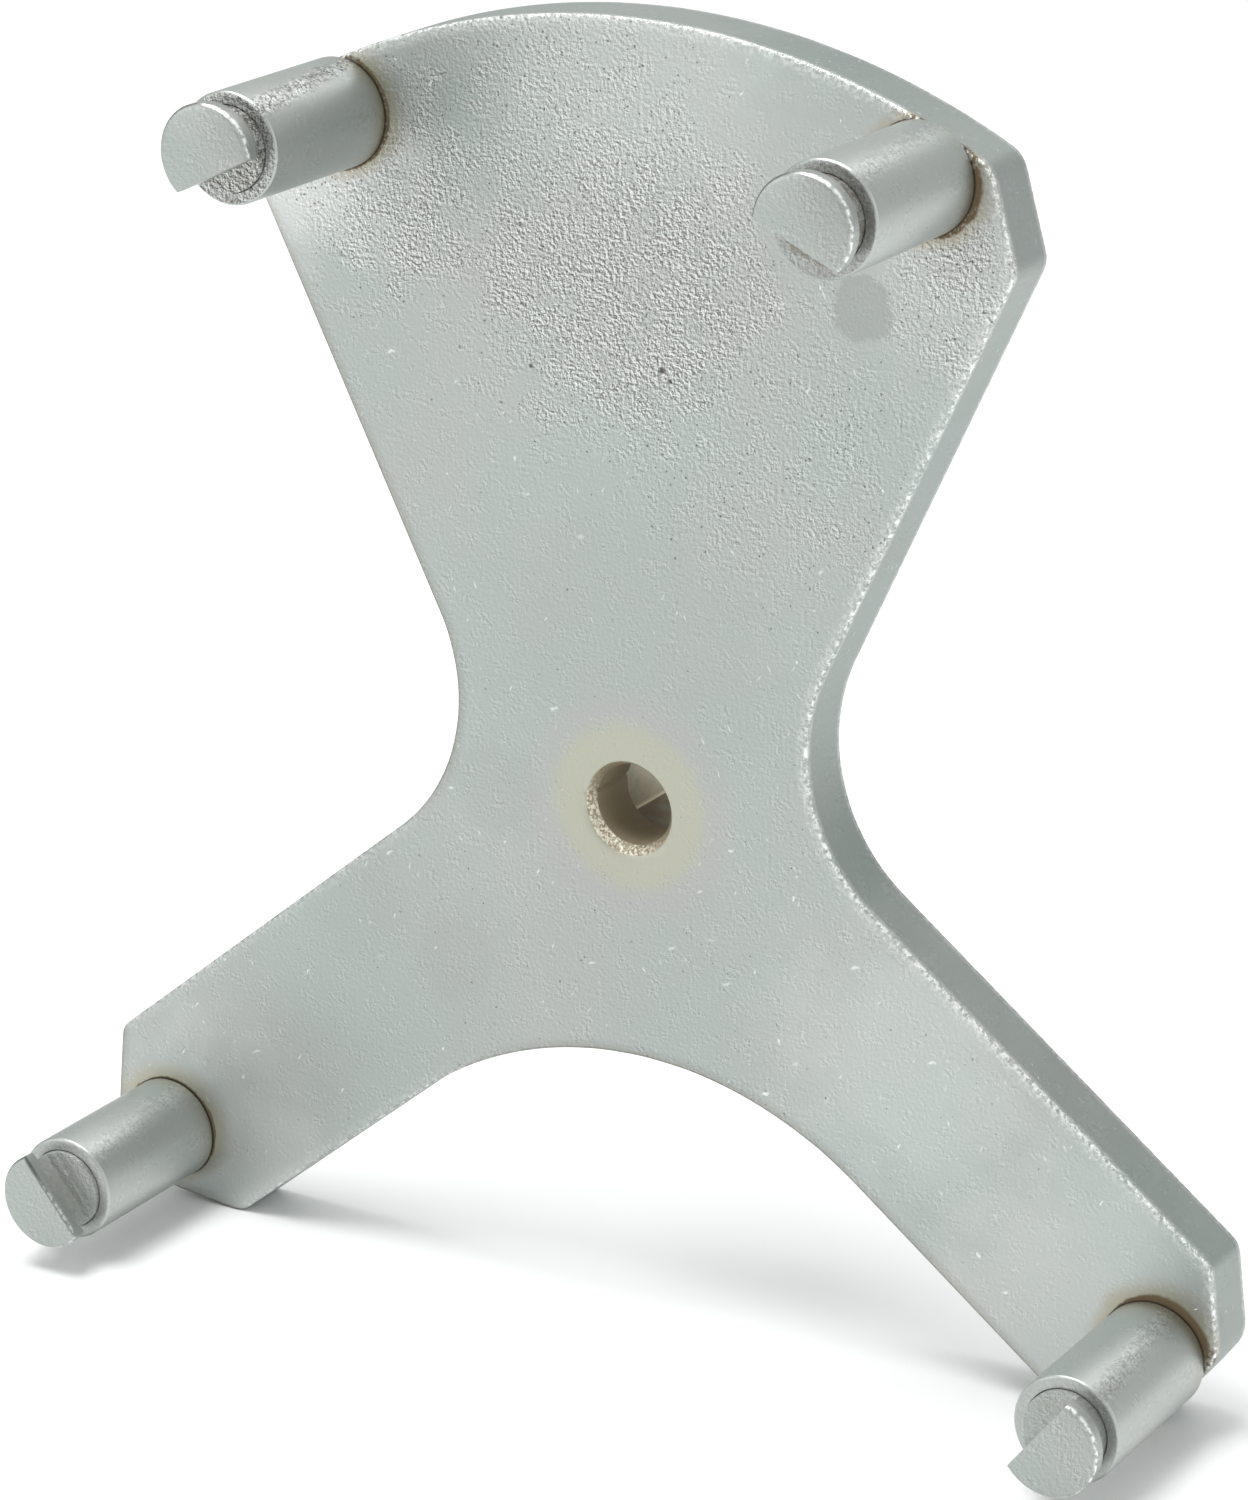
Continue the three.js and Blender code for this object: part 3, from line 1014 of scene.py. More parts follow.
class HubFinish(PlatedSteel):
    """The hub's finish: turning lines outside, and a browned socket with painted light and shade on its walls
    and a painted highlight along its corners.
    """

    grain = 0.006
    nicks = PlatedSteel.nicks[:2]

    def __init__(self, name: str, datum: Datum, square: float, turn: float) -> None:
        """Starts the finish on a hub with a square socket, turned by an angle in degrees."""
        super().__init__(name, datum)
        self.half_square = square / 2 / MM
        self.turn = turn

    def material(self) -> bpy.types.Material:
        """Builds the finish.

        Returns:
            The hub's material.
        """
        bench = self.bench
        colour, roughness, height = self.body()
        radius = self.from_axis()
        _, depth, _ = bench.parts(self.point)
        inside = bench.step(radius, 8.4, 7.2)
        deep = bench.step(depth, 19.0, 9.0)
        ragged = bench.blotches(self.point, 0.5, 0.35, 0.65)
        socket_tint_and_light = inside * deep * (ragged * 0.30 + 0.60)
        square = bench.moved(self.point, (0.0, math.radians(self.turn), 0.0), (1.0, 1.0, 1.0))
        across, _, up = bench.parts(square)
        wide, tall = bench.maths("ABSOLUTE", across), bench.maths("ABSOLUTE", up)
        # Painted light in the socket: its side walls get a lighter copy of the brown as painted light, its
        # top and bottom walls a darker copy as painted shade, and its corners a painted highlight.
        upright = bench.step(wide - tall, -0.05, 0.05)
        corner = bench.step(wide & tall, self.half_square - 0.30, self.half_square - 0.16) * inside
        colour = bench.painted(
            colour, (socket_tint_and_light, bench.mix(upright, TONES.socket_shaded_wall, TONES.socket_lit_wall)), (corner, TONES.socket_corner_highlight)
        )
        rings = bench.noise(bench.joined(radius * 0.6, depth, 0.0), 4.2, 2, 0.6)
        height = height + (rings - 0.5) * 0.012
        roughness = roughness + (rings - 0.5) * 0.12 + inside * 0.06
        return bench.finish(colour, roughness, 0.92 - socket_tint_and_light * 0.92, height)


class WeldFinish(PlatedSteel):
    """Weld metal under thin plating, with heat colours along its toes, scale in its ripples and painted shade
    in their hollows.
    """

    roughness = 0.46
    grain = 0.02
    nicks = PlatedSteel.nicks[:1]

    def __init__(self, name: str, datum: Datum, toe: float) -> None:
        """Starts the finish on a weld whose toe lies at a radius from its datum's axis."""
        super().__init__(name, datum)
        self.toe = toe / MM

    def material(self) -> bpy.types.Material:
        """Builds the finish.

        Returns:
            The weld's material.
        """
        bench = self.bench
        colour, roughness, height = self.body()
        scale = bench.blotches(self.point, 0.9, 0.45, 0.62, 4, 0.65)
        toe = bench.step(self.from_axis(), self.toe - 0.7, self.toe)
        # Painted shade in the hollows of the ripples.
        hollow = bench.layer("hollow")
        colour = bench.painted(
            colour,
            (0.55, TONES.weld),
            (scale * 0.55, TONES.dark_brown),
            (toe * 0.7, TONES.straw),
            (hollow * 0.6, TONES.soot_and_shade),
        )
        roughness = roughness + scale * 0.18 + hollow * 0.1
        return bench.finish(colour, roughness, 0.88 - scale * 0.3, height)


# The spider plate


@dataclass(frozen=True)
class EndShape:
    """How an end of the spider is cut beside a pin's radial line.

    Attributes:
        half_width: From the radial line to the side of the end.
        cut_start: Along the radial line, from the drive axis to where the corner cut begins.
        land: Width of rim left between the corner cuts.
    """

    half_width: float
    cut_start: float
    land: float


@dataclass
class SpiderPlate:
    """The flat plate with a wide sector and two arms.

    Attributes:
        datum: The drive axis on the plate's front face.
        pins: Where each pin stands.
        thickness: The plate's thickness.
    """

    datum: Datum
    pins: dict[Place, Datum]
    thickness: float
    slots: int = 7
    rim_radius: float = 71.4 * MM
    sector_end: EndShape = EndShape(11.2 * MM, 64.2 * MM, 10.4 * MM)
    arm_end: EndShape = EndShape(10.7 * MM, 65.3 * MM, 9.3 * MM)
    waist_radius: float = 17.5 * MM
    crotch_radius: float = 36.9 * MM
    rim_ease: float = 1.3 * MM
    side_ease: float = 0.9 * MM
    edge_radius: float = 0.31 * MM
    edge_steps: int = 5
    guard: float = 0.9 * MM
    bore_radius: float = 3.8 * MM
    bore_chamfer: tuple[float, float] = (0.7 * MM, 0.9 * MM)
    mouth_offset: Vector = field(default_factory=lambda: Vector((-0.12 * MM, -0.22 * MM)))
    run_in_angle: float = 169.0
    run_in_depth: float = 0.2 * MM
    run_in_spread: float = 3.0
    back_edge: float = 0.25 * MM
    bore_steps: int = 192
    spigot_hole: float = 2.75 * MM
    spigot_steps: int = 48
    edge_spacing: float = 2.6 * MM
    edge_variation: float = 0.22
    sharp_degrees: float = 32.0
    arc_step: float = 0.7 * MM
    lit_side: Vector = field(default_factory=lambda: Vector((0.8, 0.6)))

    def end_angle(self, place: Place) -> float:
        """Gives the direction of a pin from the drive axis, in degrees."""
        step = 360 / self.slots
        turns = {Place.SECTOR_LEFT: 0.5, Place.SECTOR_RIGHT: -0.5, Place.ARM_RIGHT: -2.5, Place.ARM_LEFT: 2.5}
        return 90 + turns[place] * step

    def end_shape(self, place: Place) -> EndShape:
        """Gives how the end that a pin stands on is cut."""
        return self.sector_end if place in (Place.SECTOR_LEFT, Place.SECTOR_RIGHT) else self.arm_end

    def corners(self, place: Place, side: int) -> tuple[float, Vector, Vector]:
        """Gives the corners beside a pin.

        Args:
            place: The pin.
            side: 1 for its left, -1 for its right.

        Returns:
            The angle of the corner on the rim, that corner, and the corner on the side.
        """
        shape, angle = self.end_shape(place), self.end_angle(place)
        rim_angle = angle + side * math.degrees(math.asin(shape.land / 2 / self.rim_radius))
        flank = polar(shape.cut_start, angle) + polar(side * shape.half_width, angle + 90)
        return rim_angle, polar(self.rim_radius, rim_angle), flank

    def arc(self, centre: Vector, radius: float, start: float, end: float) -> list[Vector]:
        """Gives the points of an arc between two angles in degrees."""
        count = max(2, math.ceil(radius * abs(math.radians(end - start)) / self.arc_step))
        return [centre + polar(radius, start + (end - start) * step / count) for step in range(count + 1)]

    @staticmethod
    def rounded(before: Vector, corner: Vector, after: Vector, steps: int = 7) -> list[Vector]:
        """Gives the points of a rounded corner."""
        points = []
        for step in range(steps + 1):
            share = step / steps
            points.append(before * (1 - share) ** 2 + corner * (2 * share * (1 - share)) + after * share**2)
        return points

    def hollow(self, place: Place, following: Place, turns: int, radius: float) -> list[Vector]:
        """Gives the arc between one end's left side and the next end's right side."""
        angle, next_angle = self.end_angle(place), self.end_angle(following) + 360 * turns
        between = math.radians(next_angle - angle)
        across = self.end_shape(place).half_width + radius
        next_across = self.end_shape(following).half_width + radius
        along = (next_across + across * math.cos(between)) / math.sin(between)
        centre = polar(along, angle) + polar(across, angle + 90)
        return self.arc(centre, radius, angle - 90, next_angle + 90 - 360)

    def outline(self) -> list[Vector]:
        """Gives the outline, anticlockwise from the right arm's rim.

        Returns:
            The points in the plate's own plane.
        """
        ease_angle = math.degrees(self.rim_ease / self.rim_radius)
        ends = (
            (Place.ARM_RIGHT, Place.ARM_RIGHT, Place.SECTOR_RIGHT, 0, self.waist_radius),
            (Place.SECTOR_RIGHT, Place.SECTOR_LEFT, Place.ARM_LEFT, 0, self.waist_radius),
            (Place.ARM_LEFT, Place.ARM_LEFT, Place.ARM_RIGHT, 1, self.crotch_radius),
        )
        points: list[Vector] = []
        for right, left, following, turns, radius in ends:
            first_angle = self.corners(right, -1)[0]
            rim_angle, rim, flank = self.corners(left, 1)
            next_rim_angle, next_rim, next_flank = self.corners(following, -1)
            inward = polar(-self.side_ease, self.end_angle(left))
            next_inward = polar(-self.side_ease, self.end_angle(following))
            cut = (flank - rim).normalized()
            next_cut = (next_flank - next_rim).normalized()
            start, end = first_angle + ease_angle, rim_angle - ease_angle
            next_start = polar(self.rim_radius, next_rim_angle + ease_angle)
            next_side = next_flank - next_cut * self.side_ease
            points += self.arc(Vector((0, 0)), self.rim_radius, start, end)
            points += self.rounded(polar(self.rim_radius, end), rim, rim + cut * self.rim_ease)
            points += self.rounded(flank - cut * self.side_ease, flank, flank + inward)
            points += self.hollow(left, following, turns, radius)
            points += self.rounded(next_flank + next_inward, next_flank, next_side)
            points += self.rounded(next_rim + next_cut * self.rim_ease, next_rim, next_start)
        pairs = zip(points, points[-1:] + points[:-1])
        return [point for point, last in pairs if (point - last).length > 1e-6]

    @staticmethod
    def outwards(points: Sequence[Vector]) -> list[Vector]:
        """Gives the outward direction at each point of the outline."""
        turned_on = list(points[1:]) + [points[0]]
        alongs = [after - before for before, after in zip(points[-1:] + points[:-1], turned_on)]
        return [Vector((along.y, -along.x)).normalized() for along in alongs]

    def inset(self, points: Sequence[Vector], insets: Sequence[float]) -> list[Vector]:
        """Moves each point of the outline inwards by its own distance."""
        outwards = self.outwards(points)
        return [point - outward * inset for point, outward, inset in zip(points, outwards, insets)]

    def edge_sizes(self, points: Sequence[Vector]) -> list[float]:
        """Gives the radius of the rounded edge at each point of the outline, uneven from wear."""
        sizes = []
        for point in points:
            wear = noise.noise(Vector((point.x, point.y, 0.0)) / self.edge_spacing)
            sizes.append(self.edge_radius * (1 + self.edge_variation * wear))
        return sizes

    def hole_ring(self, radius: float, centre: Vector, steps: int) -> list[Vector]:
        """Gives the points of a round hole, with the cutter's run-in groove on the centre bore."""
        points = []
        for step in range(steps):
            angle = 360 * step / steps
            off = (angle - self.run_in_angle + 180) % 360 - 180
            groove = 0.0
            if centre.length < MM:
                groove = self.run_in_depth * math.exp(-((off / self.run_in_spread) ** 2))
            points.append(centre + polar(radius + groove, angle))
        return points

    def build(self) -> bpy.types.Object:
        """Builds the plate.

        Returns:
            The plate's object.
        """
        draft = MeshDraft(layers=("edge", "side", "lit"))
        outline = self.outline()
        sizes = self.edge_sizes(outline)
        lit = [0.5 + outward.dot(self.lit_side) / 2 for outward in self.outwards(outline)]

        def level(inward: float, sunk: float, extra: float, depth: float, **values: float) -> list:
            """Adds a ring at shares of the edge radius inward and sunk, with fixed distances on top."""
            flat = self.inset(outline, [size * inward + extra for size in sizes])
            heights = [-(size * sunk + depth) for size in sizes]
            ring = (self.datum.point(p.x, p.y, h) for p, h in zip(flat, heights))
            return draft.ring(ring, lit=lit, **values)

        rounding = [math.pi / 2 * step / self.edge_steps for step in range(self.edge_steps + 1)]
        rings = [level(1, 0, self.guard, 0, edge=0, side=0)]
        weights = [0.35 + 0.65 * math.sin(2 * turn) for turn in rounding]
        for turn, weight in zip(rounding, weights):
            rings.append(level(1 - math.sin(turn), 1 - math.cos(turn), 0, 0, edge=weight, side=0))
        rings.append(level(0, 1, 0, self.guard * 0.6, edge=0, side=1))
        rings.append(level(0, -1, 0, self.thickness - self.guard * 0.6, edge=0, side=1))
        for turn, weight in zip(reversed(rounding), reversed(weights)):
            inward, sunk = 1 - math.sin(turn), math.cos(turn) - 1
            rings.append(level(inward, sunk, 0, self.thickness, edge=weight, side=0))
        rings.append(level(1, 0, self.guard, self.thickness, edge=0, side=0))
        draft.loft(rings)

        fronts, backs = [rings[0]], [rings[-1]]
        wide, deep = self.bore_chamfer
        bore = [
            (wide + self.guard, 0.0),
            (wide * 1.04, 0.0),
            (wide * 0.94, -deep * 0.05),
            (wide * 0.45, -deep * 0.5),
            (wide * 0.06, -deep * 0.92),
            (0.0, -deep * 1.06),
            (0.0, -self.thickness + self.back_edge),
            (self.back_edge, -self.thickness),
        ]
        loops = []
        for past_wall, out in bore:
            flat = self.hole_ring(self.bore_radius + past_wall, Vector((0, 0)), self.bore_steps)
            off = self.mouth_offset * max(0.0, 1 + out / deep)
            loops.append(draft.ring(self.datum.point(p.x + off.x, p.y + off.y, out) for p in flat))
        draft.loft(loops)
        fronts.append(loops[0])
        backs.append(loops[-1])
        for pin in self.pins.values():
            centre = Vector((pin.across - self.datum.across, pin.up - self.datum.up))
            flat = self.hole_ring(self.spigot_hole, centre, self.spigot_steps)
            front, back = (
                draft.ring(self.datum.point(p.x, p.y, out) for p in flat) for out in (0.0, -self.thickness)
            )
            draft.bridge(front, back)
            fronts.append(front)
            backs.append(back)
        draft.cap(fronts, Vector((0, -1, 0)))
        draft.cap(backs, Vector((0, 1, 0)))
        return draft.to_object("plate", self.sharp_degrees)

    def dress(self, piece: bpy.types.Object, tints: dict[Place, HeatTint], sleeve_radius: float) -> None:
        """Gives the plate its finish."""
        heats = [(self.pins[place], tint) for place, tint in tints.items()]
        finish = PlateFinish("plated_plate", self.datum, heats, sleeve_radius, self.bore_radius)
        piece.data.materials.append(finish.material())


# Pins and sleeves


@dataclass(frozen=True)
class PinTrim:
    """What differs from one pin to the next.

    Attributes:
        flat_offset: From the pin's axis to its flat.
        foot_tint: How strong the straw colour at the sleeve's foot is, from 0 to 1.
        darkening: How dark the painted shade in the neck is, and how much darker the sleeve's end is, from 0
            to 1.
        pitting: How pitted the sleeve's end is, from 0 to 1.
        scars: How marked the sleeve's side is, from 0 to 1.
        heat: The heat tint on the plate round the sleeve.
    """

    flat_offset: float
    foot_tint: float
    darkening: float
    pitting: float
    scars: float
    heat: HeatTint


@dataclass
class PinStation:
    """One headed pin in its sleeve.

    Attributes:
        place: Which pin it is.
        datum: The pin's axis on the plate's front face.
        hub: The drive axis, which the pin's flat faces.
        trim: What is the pin's own.
        thickness: The plate's thickness.
        sleeve_radius: The sleeve's outer radius.
        sleeve_length: How far the sleeve stands off the plate.
    """

    place: Place
    datum: Datum
    hub: Datum
    trim: PinTrim
    thickness: float
    sleeve_radius: float
    sleeve_length: float
    bore_radius: float = 3.85 * MM
    shank_radius: float = 3.8 * MM
    spigot_radius: float = 2.7 * MM
    neck_length: float = 2.2 * MM
    head_radius: float = 4.6 * MM
    head_thickness: float = 1.6 * MM
    head_chamfer: tuple[float, float] = (0.5 * MM, 0.3 * MM)
    back_chamfer: float = 0.15 * MM
    ledge_height: float = 0.85 * MM
    ledge_width: float = 0.8 * MM
    step_height: float = 0.45 * MM
    end_chamfer: float = 0.2 * MM
    foot_chamfer: float = 0.18 * MM
    end_ease: float = 0.05 * MM
    pin_easing: float = 0.09 * MM

    @property
    def inward(self) -> Vector:
        """Gives the flat direction from the pin towards the hub."""
        return Vector((self.hub.across - self.datum.across, self.hub.up - self.datum.up)).normalized()

    def sleeve(self) -> bpy.types.Object:
        """Builds the sleeve, with a broken edge at its foot and a chamfer at its end."""
        outer, inner, end = self.sleeve_radius, self.bore_radius, self.sleeve_length
        foot, chamfer, ease = self.foot_chamfer, self.end_chamfer, self.end_ease
        profile = [
            (inner, 0),
            (outer - foot, 0),
            (outer, foot),
            (outer, end - chamfer - ease),
            (outer - ease * 0.4, end - chamfer + ease * 0.4),
            (outer - chamfer + ease * 0.4, end - ease * 0.4),
            (outer - chamfer - ease, end),
            (inner + ease, end),
            (inner, end - ease),
            (inner, 0),
        ]
        return turned(f"sleeve_{self.place.value}_fine", self.datum, profile)

    def flat_cutter(self, offset: float, height: float) -> bpy.types.Object:
        """Makes the block that removes what lies past an offset towards the hub, above a height."""
        inward = self.inward
        aside = Vector((-inward.y, inward.x))
        reach, top = 3 * self.head_radius, self.sleeve_length + 10 * MM
        corners = []
        for out in (height, top):
            for along, across in ((offset, -reach), (offset, reach), (reach, reach), (reach, -reach)):
                flat = inward * along + aside * across
                corners.append(self.datum.point(flat.x, flat.y, out))
        return block("flat_cutter", corners)

    def pin(self) -> bpy.types.Object:
        """Builds the headed pin: spigot, shank, neck and head, with its flat and step."""
        neck = self.sleeve_length + self.neck_length
        top = neck + self.head_thickness
        wide, tall = self.head_chamfer
        profile = [
            (0, -self.thickness),
            (self.spigot_radius, -self.thickness),
            (self.spigot_radius, 0),
            (self.shank_radius, 0),
            (self.shank_radius, neck),
            (self.head_radius - self.back_chamfer, neck),
            (self.head_radius, neck + self.back_chamfer),
            (self.head_radius, top - tall),
            (self.head_radius - wide * 0.35, top - tall * 0.35),
            (self.head_radius - wide, top),
            (0, top),
        ]
        blank = turned(f"pin_{self.place.value}_fine", self.datum, profile)
        length, offset = self.sleeve_length, self.trim.flat_offset
        ledge = self.flat_cutter(offset, length + self.ledge_height)
        floor = self.flat_cutter(offset + self.ledge_width, length + self.step_height)
        return carved(blank, [ledge, floor], self.pin_easing)

    def build(self) -> dict[str, bpy.types.Object]:
        """Builds and dresses the station.

        Returns:
            Its pieces, by the CAD nodes that they stand for.
        """
        place = self.place.value
        sleeve, pin = self.sleeve(), self.pin()
        sleeve_finish = SleeveFinish(f"plated_sleeve_{place}", self.datum, self.sleeve_length, self.trim)
        neck = (self.sleeve_length, self.sleeve_length + self.neck_length)
        flat_angle = math.atan2(self.inward.y, self.inward.x)
        pin_finish = PinFinish(f"plated_pin_{place}", self.datum, neck, flat_angle, self.trim)
        sleeve.data.materials.append(sleeve_finish.material())
        pin.data.materials.append(pin_finish.material())
        return {f"sleeve_{place}": sleeve, f"headed_pin_{place}": pin}


# Hub


@dataclass
class DriveHub:
    """The turned hub on the plate's back, with a square socket and four ball recesses.

    Attributes:
        datum: The drive axis on the plate's back face. The hub reaches from there towards +Y.
        radius: Outer radius.
        length: From the plate's back face to the open end.
    """

    datum: Datum
    radius: float
    length: float
    square: float = 9.6 * MM
    turn: float = -7.5
    lead_in: float = 0.6 * MM
    chamfer: float = 0.8 * MM
    detent_radius: float = 1.8 * MM
    detent_depth: float = 0.8 * MM
    detent_height: float = 5.5 * MM
    detent_steps: int = 32
    hub_easing: float = 0.12 * MM

    def socket_cutter(self) -> bpy.types.Object:
        """Makes the square prism that cuts the socket."""
        return self.prism("socket", self.square, self.square, 1 * MM, -self.length - 1 * MM)

    def lead_cutter(self) -> bpy.types.Object:
        """Makes the slanted mouth of the socket."""
        beyond = 1 * MM
        wide = self.square + 2 * (self.lead_in + beyond)
        return self.prism("lead_in", self.square, wide, -self.length + self.lead_in, -self.length - beyond)

    def prism(self, name: str, near: float, far: float, near_out: float, far_out: float) -> bpy.types.Object:
        """Makes a turned square prism between two distances out, with its own width at each."""
        corners = []
        for width, out in ((near, near_out), (far, far_out)):
            for quarter in range(4):
                corner = polar(width / math.sqrt(2), self.turn + 45 + 90 * quarter)
                corners.append(self.datum.point(corner.x, corner.y, out))
        return block(name, corners)

    def detent_cutters(self) -> list[bpy.types.Object]:
        """Makes the four round recesses for the drive's spring ball."""
        cutters = []
        centre = -self.length + self.detent_height
        depth = self.square / 2 + self.detent_depth
        for quarter in range(4):
            out_from_axis = polar(1, self.turn + 90 * quarter)
            aside = Vector((-out_from_axis.y, out_from_axis.x))
            draft = MeshDraft()
            rings = []
            for along, share in ((0, 1), (depth - 0.35 * MM, 1), (depth - 0.1 * MM, 0.72), (depth, 0.3)):
                ring = []
                for step in range(self.detent_steps):
                    flat = polar(self.detent_radius * share, 360 * step / self.detent_steps)
                    base = out_from_axis * along + aside * flat.x
                    ring.append(self.datum.point(base.x, base.y, centre + flat.y))
                rings.append(draft.ring(ring))
            draft.loft(rings)
            draft.bm.faces.new(rings[0])
            draft.bm.faces.new(rings[-1])
            cutters.append(draft.to_object("detent"))
        return cutters

    def build(self) -> bpy.types.Object:
        """Builds and dresses the hub.

        Returns:
            The hub's object.
        """
        end = -self.length
        profile = [
            (0, 0),
            (self.radius, 0),
            (self.radius, end + self.chamfer),
            (self.radius - self.chamfer, end),
            (0, end),
        ]
        blank = turned("hub_fine", self.datum, profile)
        cutters = [self.socket_cutter(), self.lead_cutter(), *self.detent_cutters()]
        hub = carved(blank, cutters, self.hub_easing)
        hub.data.materials.append(HubFinish("plated_hub", self.datum, self.square, self.turn).material())
        return hub


# Welds


class BeadShape(Enum):
    """The two forms of weld on the wrench's back."""

    FILLET = "fillet"
    PLUG = "plug"


class BeadTree(NodeBench):
    """A Geometry Nodes tree that lays a rippled weld bead round an axis."""

    INPUTS = (
        ("Inner Radius", 0.010), ("Reach", 0.0028), ("Height", 0.0028),
        ("Ripples", 40.0), ("Relief", 0.00016), ("Seed", 0.0),
    )
    GRIDS = {BeadShape.FILLET: (361, 45), BeadShape.PLUG: (97, 37)}

    def __init__(self, shape: BeadShape) -> None:
        """Builds the tree for one form of weld."""
        self.group = bpy.data.node_groups.new(f"bead_{shape.value}", "GeometryNodeTree")
        super().__init__(self.group)
        self.shape = shape
        for name, value in self.INPUTS:
            socket = self.group.interface.new_socket(name, in_out="INPUT", socket_type="NodeSocketFloat")
            socket.default_value = value
        self.group.interface.new_socket("Material", in_out="INPUT", socket_type="NodeSocketMaterial")
        self.group.interface.new_socket("Geometry", in_out="OUTPUT", socket_type="NodeSocketGeometry")
        self.start = self.node("NodeGroupInput")
        self._lay()

    def given(self, name: str) -> Wire:
        """Gives one of the tree's own inputs."""
        return self.out(self.start, name)

    def _section(self, along: Wire) -> tuple[Wire, Wire, Wire]:
        """Gives the bead's section as a closed loop.

        Args:
            along: Place on the loop, from 0 to 1.

        Returns:
            Distance from the inner radius, distance off the plate, and how far on the crown, 0 to 1.
        """
        spans = ((0, 0.76), (0.76, 0.90), (0.90, 1.0))
        crown, back, close = (self.share(along, low, high) for low, high in spans)
        turn = crown * (math.pi / 2)
        sine, cosine = self.maths("SINE", turn), self.maths("COSINE", turn)
        if self.shape is BeadShape.FILLET:
            flatten = 1 - 0.22 * self.maths("SINE", turn * 2)
            reach = sine * flatten * (1 - back)
            height = cosine * flatten + close
        else:
            reach = sine * (1 - back)
            height = cosine
        return reach * self.given("Reach"), height * self.given("Height"), crown

    def share(self, value: Wire, low: float, high: float) -> Wire:
        """Gives how far a value is from low to high, kept between 0 and 1."""
        sockets = {"Value": value, "From Min": low, "From Max": high}
        return self.out(self.node("ShaderNodeMapRange", {"clamp": True}, sockets))

    def _lay(self) -> None:
        """Adds the tree's nodes."""
        columns, rows = self.GRIDS[self.shape]
        sizes = {"Size X": 1.0, "Size Y": 1.0, "Vertices X": columns, "Vertices Y": rows}
        grid = self.node("GeometryNodeMeshGrid", sockets=sizes)
        x, y, _ = self.parts(self.out(self.node("GeometryNodeInputPosition")))
        turn, along = (x + 0.5) * math.tau, y + 0.5
        reach, height, crown = self._section(along)
        cosine, sine = self.maths("COSINE", turn), self.maths("SINE", turn)
        seeded = self.joined(cosine * 3, sine * 3, crown * 2 + self.given("Seed"))
        drift = self.noise(seeded, 1.0, 2, 0.5) - 0.5

        middle = self.maths("SINE", crown * math.pi)
        bend = (crown - 0.5) * (crown - 0.5)
        if self.shape is BeadShape.FILLET:
            phase = (x + 0.5) * self.given("Ripples") + bend * 1.6 + drift * 1.2
        else:
            phase = crown * self.given("Ripples") + (x + 0.5) + drift * 0.8
        wave = self.maths("ABSOLUTE", self.maths("SINE", phase * math.pi))
        hollow = 1 - wave**0.5
        relief = self.given("Relief")
        swell = (0 - hollow) * relief * middle + drift * relief * middle * 1.5

        radius = self.given("Inner Radius") + reach + swell * self.maths("SINE", crown * (math.pi / 2))
        off = height + swell * self.maths("COSINE", crown * (math.pi / 2))
        spot = self.joined(radius * cosine, off, radius * sine)
        on_points = {"data_type": "FLOAT", "domain": "POINT"}
        stages = (
            ("SetPosition", {}, {"Position": spot}),
            ("StoreNamedAttribute", on_points, {"Name": "hollow", "Value": hollow * middle}),
            ("MergeByDistance", {}, {"Distance": MERGE}),
            ("SetShadeSmooth", {}, {}),
            ("RealizeInstances", {}, {}),
            ("SetMaterial", {}, {"Material": self.given("Material")}),
        )
        shape = self.out(grid)
        for kind, settings, sockets in stages:
            shape = self.out(self.node(f"GeometryNode{kind}", settings, {"Geometry": shape, **sockets}))
        self.node("NodeGroupOutput", sockets={"Geometry": shape})


@dataclass
class Weld:
    """A weld bead on the plate's back.

    Attributes:
        name: The piece's name.
        datum: The bead's axis on the plate's back face.
        tree: The tree that lays it.
        inner: Radius of what it goes round, or 0 for a plug.
        reach: How far it spreads from there.
        height: How far it stands off the plate.
        ripples: How many ripples it has.
        relief: How deep they are.
        seed: What sets its unevenness apart from the other beads'.
    """

    name: str
    datum: Datum
    tree: BeadTree
    inner: float
    reach: float
    height: float
    ripples: float
    relief: float
    seed: float
    sharp_degrees: float = 75.0

    def build(self) -> bpy.types.Object:
        """Lays and dresses the bead.

        Returns:
            The bead's object, with its place in its mesh.
        """
        finish = WeldFinish(f"{self.name}_metal", self.datum, self.inner + self.reach)
        values = {
            "Inner Radius": self.inner, "Reach": self.reach, "Height": self.height, "Ripples": self.ripples,
            "Relief": self.relief, "Seed": self.seed, "Material": finish.material(),
        }
        piece = linked(self.name, bpy.data.meshes.new(self.name))
        lay = piece.modifiers.new("bead", "NODES")
        lay.node_group = self.tree.group
        for item in self.tree.group.interface.items_tree:
            if item.in_out == "INPUT":
                lay[item.identifier] = values[item.name]
        applied(piece, self.sharp_degrees)
        piece.data.transform(Matrix.Translation(self.datum.point(0, 0, 0)))
        shell = bmesh.new()
        shell.from_mesh(piece.data)
        bmesh.ops.recalc_face_normals(shell, faces=shell.faces)
        shell.to_mesh(piece.data)
        shell.free()
        return piece


# The wrench


